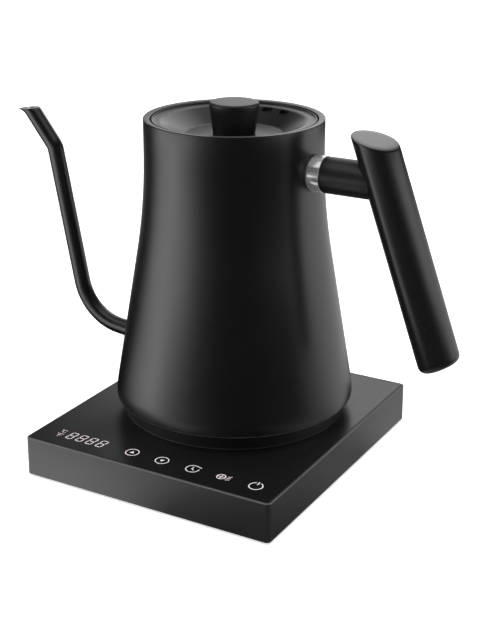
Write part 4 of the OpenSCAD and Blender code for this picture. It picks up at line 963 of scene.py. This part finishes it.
class KETTLE_OT_handle(KettleOperator, bpy.types.Operator):
    """Build the ferrule, the stem and the leaning grip"""
    bl_idname = "kettle.handle"
    bl_label = "Handle"

    def make(self, scene):
        s = scene.kettle_handle
        shell = Shell(scene.kettle_body)
        place = kettle_frame()
        self.ferrule(s, shell, place)
        self.stem(s, place)
        self.grip(s, place)

    def across(self, s, radius, reach, segments=96):
        """Ring round the stem; reach(y, k) gives each point's distance from the kettle's axis."""
        found = []
        for j in range(segments):
            a = math.tau * j / segments
            y, k = radius * math.cos(a), s.stem_k + radius * math.sin(a)
            found.append(Vector((reach(y, k), y, k)))
        return found

    def sleeve(self, name, rings, place, slot, node):
        """Piece from rings that close on themselves through the bore."""
        bm = bmesh.new()
        loft(bm, [[place @ p for p in ring] for ring in rings], closed=True)
        return piece(name, bm, "kettle", [slot], [node])

    def ferrule(self, s, shell, place):
        """Bright ferrule, cut to the body's round at one end."""
        end, blunt, feather = s.ferrule_end, 0.0003, 0.0001
        seat = lambda y, k: math.sqrt(shell.radius(k) ** 2 - y * y) + CLEAR
        flat = lambda x: lambda y, k: x
        rings = [self.across(s, s.ferrule - feather, seat)]
        rings += [self.across(s, s.ferrule, lambda y, k: seat(y, k) + feather)]
        rings += [self.across(s, s.ferrule, flat(end - blunt))]
        for a in (math.pi / 6, math.pi / 3, math.pi / 2):
            radius = s.ferrule - blunt * (1 - math.cos(a))
            rings.append(self.across(s, radius, flat(end - blunt + blunt * math.sin(a))))
        rings += [self.across(s, s.stud, flat(end)), self.across(s, s.stud, seat)]
        self.sleeve("ferrule", rings, place, "ferrule_chrome", "handle_ferrule")

    def stem(self, s, place):
        """Plastic stem, cut to the grip's round at its outer end."""
        start, blunt, feather = s.ferrule_end, 0.0003, 0.0001
        near = s.grip + CLEAR
        flat = lambda x: lambda y, k: x

        def seat(y, k):
            """Where the stem's surface runs into the round grip."""
            depth = math.sqrt(max(near * near - y * y, 0.0))
            return s.grip_x - (k - s.stem_k) * math.tan(s.lean) - depth / math.cos(s.lean)

        rings = [self.across(s, s.stud, flat(start)), self.across(s, s.stem - blunt, flat(start))]
        for a in (math.pi / 6, math.pi / 3, math.pi / 2):
            radius = s.stem - blunt * (1 - math.sin(a))
            rings.append(self.across(s, radius, flat(start + blunt * (1 - math.cos(a)))))
        first = start + blunt
        for t in (0.25, 0.5, 0.75, 0.96):
            rings.append(self.across(s, s.stem, lambda y, k: first + (seat(y, k) - first) * t))
        rings += [self.across(s, s.stem - feather, lambda y, k: seat(y, k) - 2 * feather)]
        rings += [self.across(s, s.stem - 4 * feather, seat), self.across(s, s.stud, seat)]
        made = self.sleeve("stem", rings, place, "grip_plastic", "handle_stem")
        made.data.materials[0] = finish_of("stem_plastic")  # its mould has a coarser grain

    def grip(self, s, place):
        """Hollow round grip with a sloping top face and a rounded edge round it."""
        way = place @ Matrix.Translation((s.grip_x, 0.0, s.stem_k)) @ Matrix.Rotation(-s.lean, 4, "Y")
        rise, roll = math.tan(s.lean + s.top_slope), math.tan(s.top_roll)
        soft, inner, seam, bore_end = s.rounding, s.grip - s.wall, s.foot_rounding - s.down, -0.018
        waist = -0.002
        feather = 0.0001
        turns = [math.tau * j / 96 for j in range(96)]
        level = lambda r, z: [Vector((r * math.cos(a), r * math.sin(a), z)) for a in turns]

        def tilt(r, z, along, across):
            """Ring whose height changes along and across the handle."""
            return [Vector((p.x, p.y, z + p.x * along + p.y * across)) for p in level(r, 0.0)]

        slant = lambda r, off=0.0: tilt(r, seam + off, math.tan(s.foot_slope), 0.0)
        rim = lambda r, drop: tilt(r, s.up - drop, -rise, roll)
        between = lambda a, b, t: [p.lerp(q, t) for p, q in zip(a, b)]
        rings = [level(inner, bore_end), slant(inner), slant(s.grip - feather)]
        rings += [between(slant(s.grip, feather), level(s.grip, waist), i / 6) for i in range(7)]
        rings += [between(level(s.grip, waist), rim(s.grip, 2.2 * soft), t) for t in (0.5, 1.0)]
        for a in [math.pi / 2 * i / 6 for i in range(1, 7)]:
            rings.append(rim(s.grip - soft * (1 - math.cos(a)), 2.2 * soft * (1 - math.sin(a))))
        rings += [rim((s.grip - soft) * t, 0.0) for t in (0.7, 0.35)]
        bm = bmesh.new()
        loft(bm, [[way @ p for p in ring] for ring in rings], cap=(True, True))
        bore = rod(place @ Vector((s.grip_x - 2 * s.grip, 0, s.stem_k)),
            place @ Vector((s.grip_x + 0.0006, 0, s.stem_k)), s.stud, 64)
        piece("grip", bm, "kettle", ["grip_plastic"], ["handle_grip"], [bore], limit=34.0)
        self.cap(s, way, seam)

    def cap(self, s, way, seam):
        """Rounded plug that closes the grip from below, with its spigot inside."""
        foot, core = s.foot_rounding, s.grip - s.wall - CLEAR
        slant = Matrix.Translation((0.0, 0.0, seam)) @ Matrix.Rotation(-s.foot_slope, 4, "Y")
        bm = bmesh.new()
        end = [(0.0, -foot), (0.004, -foot)] + arc(s.grip - foot, 0.0, foot, -math.pi / 2, 0.0, 12)
        turn_solid(bm, end + [(s.grip - 0.0001, CLEAR), (0.0, CLEAR)], 96, way @ slant)
        low, high = seam - 0.0022, seam + 0.005
        turn_solid(bm, [(0.0, low), (core, low), (core, high), (0.0, high)], 64, way)
        piece("grip_plug", bm, "kettle", ["grip_plastic"], ["grip_cap"])


class KETTLE_OT_lid(KettleOperator, bpy.types.Operator):
    """Build the dished lid with its steam vents, and its knob"""
    bl_idname = "kettle.lid"
    bl_label = "Lid and knob"

    def make(self, scene):
        s, body = scene.kettle_lid, scene.kettle_body
        place = kettle_frame()
        edge_k = body.rim_k - s.drop
        floor_k = edge_k - s.depth
        ledge_k = edge_k - s.fall
        outer_r = body.neck - body.rim_width - s.gap
        seat_k = body.rim_k - body.rim_depth
        slope = math.atan2(ledge_k - floor_k, s.shoulder - s.floor)
        tuck, quarter = math.tan(slope / 2), math.pi / 2
        start, end = s.floor - s.round_in * tuck, s.shoulder + s.round_out * tuck

        def face(off):
            """Outline of the dish's side from its floor to its ledge, moved down by off."""
            low = arc(start, floor_k + s.round_in, s.round_in + off, -quarter, slope - quarter, 10)
            return low + arc(end, ledge_k - s.round_out, s.round_out - off, slope + quarter, quarter, 12)

        profile = [(0.0, floor_k), (0.013, floor_k), (0.020, floor_k)] + face(0.0)
        profile += [(outer_r - 0.0016, ledge_k), (outer_r - 0.0009, ledge_k + 0.0003)]
        profile += arc(outer_r - 0.0004, edge_k - 0.0004, 0.0004, quarter + 0.9, 0.0, 6)
        profile += [(outer_r, seat_k), (outer_r - s.sheet, seat_k), (outer_r - s.sheet, ledge_k - s.sheet)]
        profile += face(s.sheet)[::-1] + [(0.0, floor_k - s.sheet)]
        bm = bmesh.new()
        turn_solid(bm, profile, 192, place)
        turned = [place @ Matrix.Rotation(quarter + i * s.vent_step, 4, "Z") for i in (-1, 0, 1)]
        cutters = [self.vent(s, at, floor_k) for at in turned]
        piece("lid_dish_sheet", bm, "lid", ["lid_paint"], ["lid_dish"], cutters)
        self.knob(s, place, floor_k)

    def vent(self, s, place, floor_k):
        """Cutter for one long steam vent with round ends."""
        half, r = (s.vent_length - s.vent_width) / 2, s.vent_width / 2
        plan = arc(s.vent_r, half, r, 0.0, math.pi, 16) + arc(s.vent_r, -half, r, math.pi, math.tau, 16)
        low, high = floor_k - 0.003, floor_k + 0.011
        bm = bmesh.new()
        loft(bm, [[place @ Vector((x, y, z)) for x, y in plan] for z in (low, high)], cap=(True, True))
        return bm

    def knob(self, s, place, floor_k):
        """Tapered knob with a softly rounded top and a bore for its screw."""
        top = knob_high.z - bpy.context.scene.kettle_base.top
        blunt, screw, deep = 0.001, 0.00155, 0.009
        height = top - 2 * blunt - floor_k
        flare = s.knob_top - s.knob_foot
        side = [(s.knob_foot + flare * i / 6, floor_k + height * i / 6) for i in range(7)]
        profile = [(0.0, floor_k)] + side
        profile += arc(s.knob_top - blunt, top - blunt, blunt, 0.0, math.pi / 2, 8)
        profile += [(0.009, top), (0.005, top), (0.0, top)]
        bm = bmesh.new()
        turn_solid(bm, profile, 128, place)
        start, end = Vector((0, 0, floor_k - PAST)), Vector((0, 0, floor_k + deep))
        piece("knob", bm, "lid", ["knob_plastic"], ["lid_knob"], [rod(place @ start, place @ end, screw, 32)])


class KETTLE_OT_stage(KettleOperator, bpy.types.Operator):
    """Set the floor, the soft lights and the camera"""
    bl_idname = "kettle.stage"
    bl_label = "Stage"

    def make(self, scene):
        s = scene.kettle_studio
        self.turn = s.turn
        self.room(scene, s)
        self.floor(scene, s)
        for power, lamp in LAMPS.items():
            self.lamp(scene, getattr(s, power), *lamp)
        self.tent(scene)
        self.camera(scene, s)

    def heading(self, degrees):
        """Direction in plan at an angle to the right of the camera's side."""
        a = self.turn + math.radians(degrees)
        return Vector((math.sin(a), -math.cos(a), 0.0))

    def seen_or_not(self, f):
        """1 for what the camera, a gloss or a clear piece sees, 0 for lighting."""
        rays = [f.node("ShaderNodeLightPath", None, None, name)
            for name in ("Is Camera Ray", "Is Glossy Ray", "Is Transmission Ray")]
        return rays[0].math("MAXIMUM", rays[1]).math("MAXIMUM", rays[2])

    def room(self, scene, s):
        """Even light from all round, seen as white."""
        world = bpy.data.worlds.new("studio_room")
        world.use_nodes = True
        scene.world = world
        f = Nodes(world.node_tree)
        light = f.tree.nodes["Background"]
        light.inputs["Color"].default_value = (1.0, 1.0, 1.0, 1.0)
        f.feed(light.inputs["Strength"], s.room + self.seen_or_not(f) * (1.0 - s.room))

    def floor(self, scene, s):
        """Pale floor that keeps the kettle's shadow and turns white away from it."""
        bm = bmesh.new()
        loft(bm, turn_rings([(0.3, 0.0), (1.0, 0.0), (6.0, 0.0)], 64), cap=(True, False))
        for face in bm.faces:
            if face.normal.z < 0:
                face.normal_flip()
        mesh = bpy.data.meshes.new("studio_floor")
        bm.to_mesh(mesh)
        bm.free()
        f = Finish("studio_floor", Roughness=0.9, Specular_IOR_Level=0.0)
        cloud, tone = f.noise(3.0, 2.0), shade("floor")
        x, y = f.split()[:2]
        far = (x * x + y * y).math("SQRT").step(0.4, 1.4)
        f.set(Base_Color=f.mix(cloud, tint(tone, 0.99), tone), Emission_Strength=1.0,
            Emission_Color=self.seen_or_not(f) * (s.lift + far * (1.0 - s.lift)))
        mesh.materials.append(f.material)
        obj = bpy.data.objects.new("studio_floor", mesh)
        scene.collection.objects.link(obj)

    def lamp(self, scene, power, name, side, rise, distance, width, height):
        """Soft light that neither the camera nor gloss sees."""
        light = bpy.data.lights.new(name, "AREA")
        light.shape, light.size, light.size_y, light.energy = "RECTANGLE", width, height, power
        obj = bpy.data.objects.new(name, light)
        scene.collection.objects.link(obj)
        aim = Vector((0.0, 0.0, 0.09))
        up = math.radians(rise)
        away = self.heading(side) * math.cos(up) + Vector((0, 0, math.sin(up)))
        obj.location = aim + away * distance
        obj.rotation_mode = "QUATERNION"
        obj.rotation_quaternion = (-away).to_track_quat("-Z", "Y")
        obj.visible_camera = obj.visible_glossy = False

    def tent(self, scene):
        """Light tent that only gloss sees: softboxes on its floor, wall and roof."""
        steps, radius, middle, ground, roof = 96, 0.60, 0.0005, 0.0003, 0.85
        ring = lambda r, z: [self.heading(360.0 * i / steps) * r + Vector((0, 0, z)) for i in range(steps)]
        floor = self.panel("tent_floor")
        x, y = floor.split()[:2]
        out = (x * x + y * y).math("SQRT")
        near, low = self.around(floor, NEAR_BOXES), self.around(floor, LOW_BOXES)
        floor.set(Emission_Color=self.fade(near, low, out.step(0.14, 0.22)))
        wall = self.panel("tent_wall")
        z = wall.split()[2]
        light = self.fade(self.around(wall, LOW_BOXES), self.around(wall, SKIRT_BOXES), z.step(0.0, 0.08))
        light = self.fade(light, self.around(wall, MIDDLE_BOXES), z.step(0.12, 0.18))
        wall.set(Emission_Color=self.fade(light, self.around(wall, HIGH_BOXES), z.step(0.27, 0.36)))
        top = self.panel("tent_roof")
        top.set(Emission_Color=self.around(top, ROOF_BOXES))
        self.cloth(scene, "tent_floor", [ring(middle, ground), ring(radius, ground)], floor)
        self.cloth(scene, "tent_wall", [ring(radius, ground), ring(radius, roof)], wall)
        self.cloth(scene, "tent_roof", [ring(radius, roof), ring(middle, roof)], top)

    def fade(self, a, b, mask):
        """The light a where mask is 0 and b where it is 1."""
        return a + (b - a) * mask

    def panel(self, name):
        """Black sheet that only glows."""
        return Finish(name, Base_Color=(0.0, 0.0, 0.0), Specular_IOR_Level=0.0, Emission_Strength=TENT_TOP)

    def around(self, f, boxes):
        """Light of the softboxes at one height, by the side that a place lies on."""
        x, y = f.split()[:2]
        turned = (x * math.cos(self.turn) + y * math.sin(self.turn)).math("ARCTAN2",
            x * math.sin(self.turn) - y * math.cos(self.turn))
        share = turned / math.tau + 0.5
        stops = [((side + 180) / 360, (glow(boxes, side) / TENT_TOP,) * 3) for side in range(-180, 181, FADE)]
        return f.node("ShaderNodeValToRGB", {"stops": stops}, {0: share})

    def cloth(self, scene, name, rings, f):
        """One sheet of the tent, seen by gloss alone."""
        bm = bmesh.new()
        loft(bm, rings)
        mesh = bpy.data.meshes.new(name)
        bm.to_mesh(mesh)
        bm.free()
        mesh.materials.append(f.material)
        obj = bpy.data.objects.new(name, mesh)
        scene.collection.objects.link(obj)
        obj.visible_camera = obj.visible_diffuse = obj.visible_shadow = False
        obj.visible_transmission = False

    def camera(self, scene, s):
        """Camera on its target, with the picture slid down by the lens."""
        lens = bpy.data.cameras.new("camera")
        lens.lens, lens.sensor_width, lens.sensor_fit = s.lens, 36.0, "AUTO"
        lens.shift_y = -s.shift
        lens.clip_start, lens.clip_end = 0.02, 50.0
        obj = bpy.data.objects.new("camera", lens)
        scene.collection.objects.link(obj)
        away = self.heading(0.0) * math.cos(s.rise) + Vector((0, 0, math.sin(s.rise)))
        obj.location = Vector((s.aim_x, 0.0, s.aim_z)) + away * s.distance
        obj.rotation_mode = "QUATERNION"
        obj.rotation_quaternion = (-away).to_track_quat("-Z", "Y")
        scene.camera = obj
        scene.view_settings.view_transform = "Standard"


OPERATORS = (
    KETTLE_OT_stage,
    KETTLE_OT_finishes,
    KETTLE_OT_housing,
    KETTLE_OT_body,
    KETTLE_OT_spout,
    KETTLE_OT_handle,
    KETTLE_OT_lid,
)


class KETTLE_PT_panel(bpy.types.Panel):
    """Sidebar panel with the kettle's sizes, colours and steps"""
    bl_idname = "KETTLE_PT_panel"
    bl_label = "Gooseneck kettle"
    bl_space_type = "VIEW_3D"
    bl_region_type = "UI"
    bl_category = "Kettle"

    def draw(self, context):
        for title, group in GROUPS.items():
            box = self.layout.box()
            box.label(text=title.replace("_", " ").capitalize())
            for name in group.__annotations__:
                box.prop(getattr(context.scene, title), name)
        for step in OPERATORS:
            self.layout.operator(step.bl_idname)


CLASSES = (*GROUPS.values(), *OPERATORS, KETTLE_PT_panel)


def register():
    """Adds the classes, and each group of sizes to the scene."""
    for cls in CLASSES:
        bpy.utils.register_class(cls)
    for name, group in GROUPS.items():
        setattr(bpy.types.Scene, name, PointerProperty(type=group))


def unregister():
    """Takes away what register added."""
    for name in GROUPS:
        delattr(bpy.types.Scene, name)
    for cls in reversed(CLASSES):
        bpy.utils.unregister_class(cls)


def main():
    """Builds the whole kettle."""
    register()
    for step in OPERATORS:
        group, name = step.bl_idname.split(".")
        getattr(getattr(bpy.ops, group), name)()


if __name__ == "__main__":
    main()
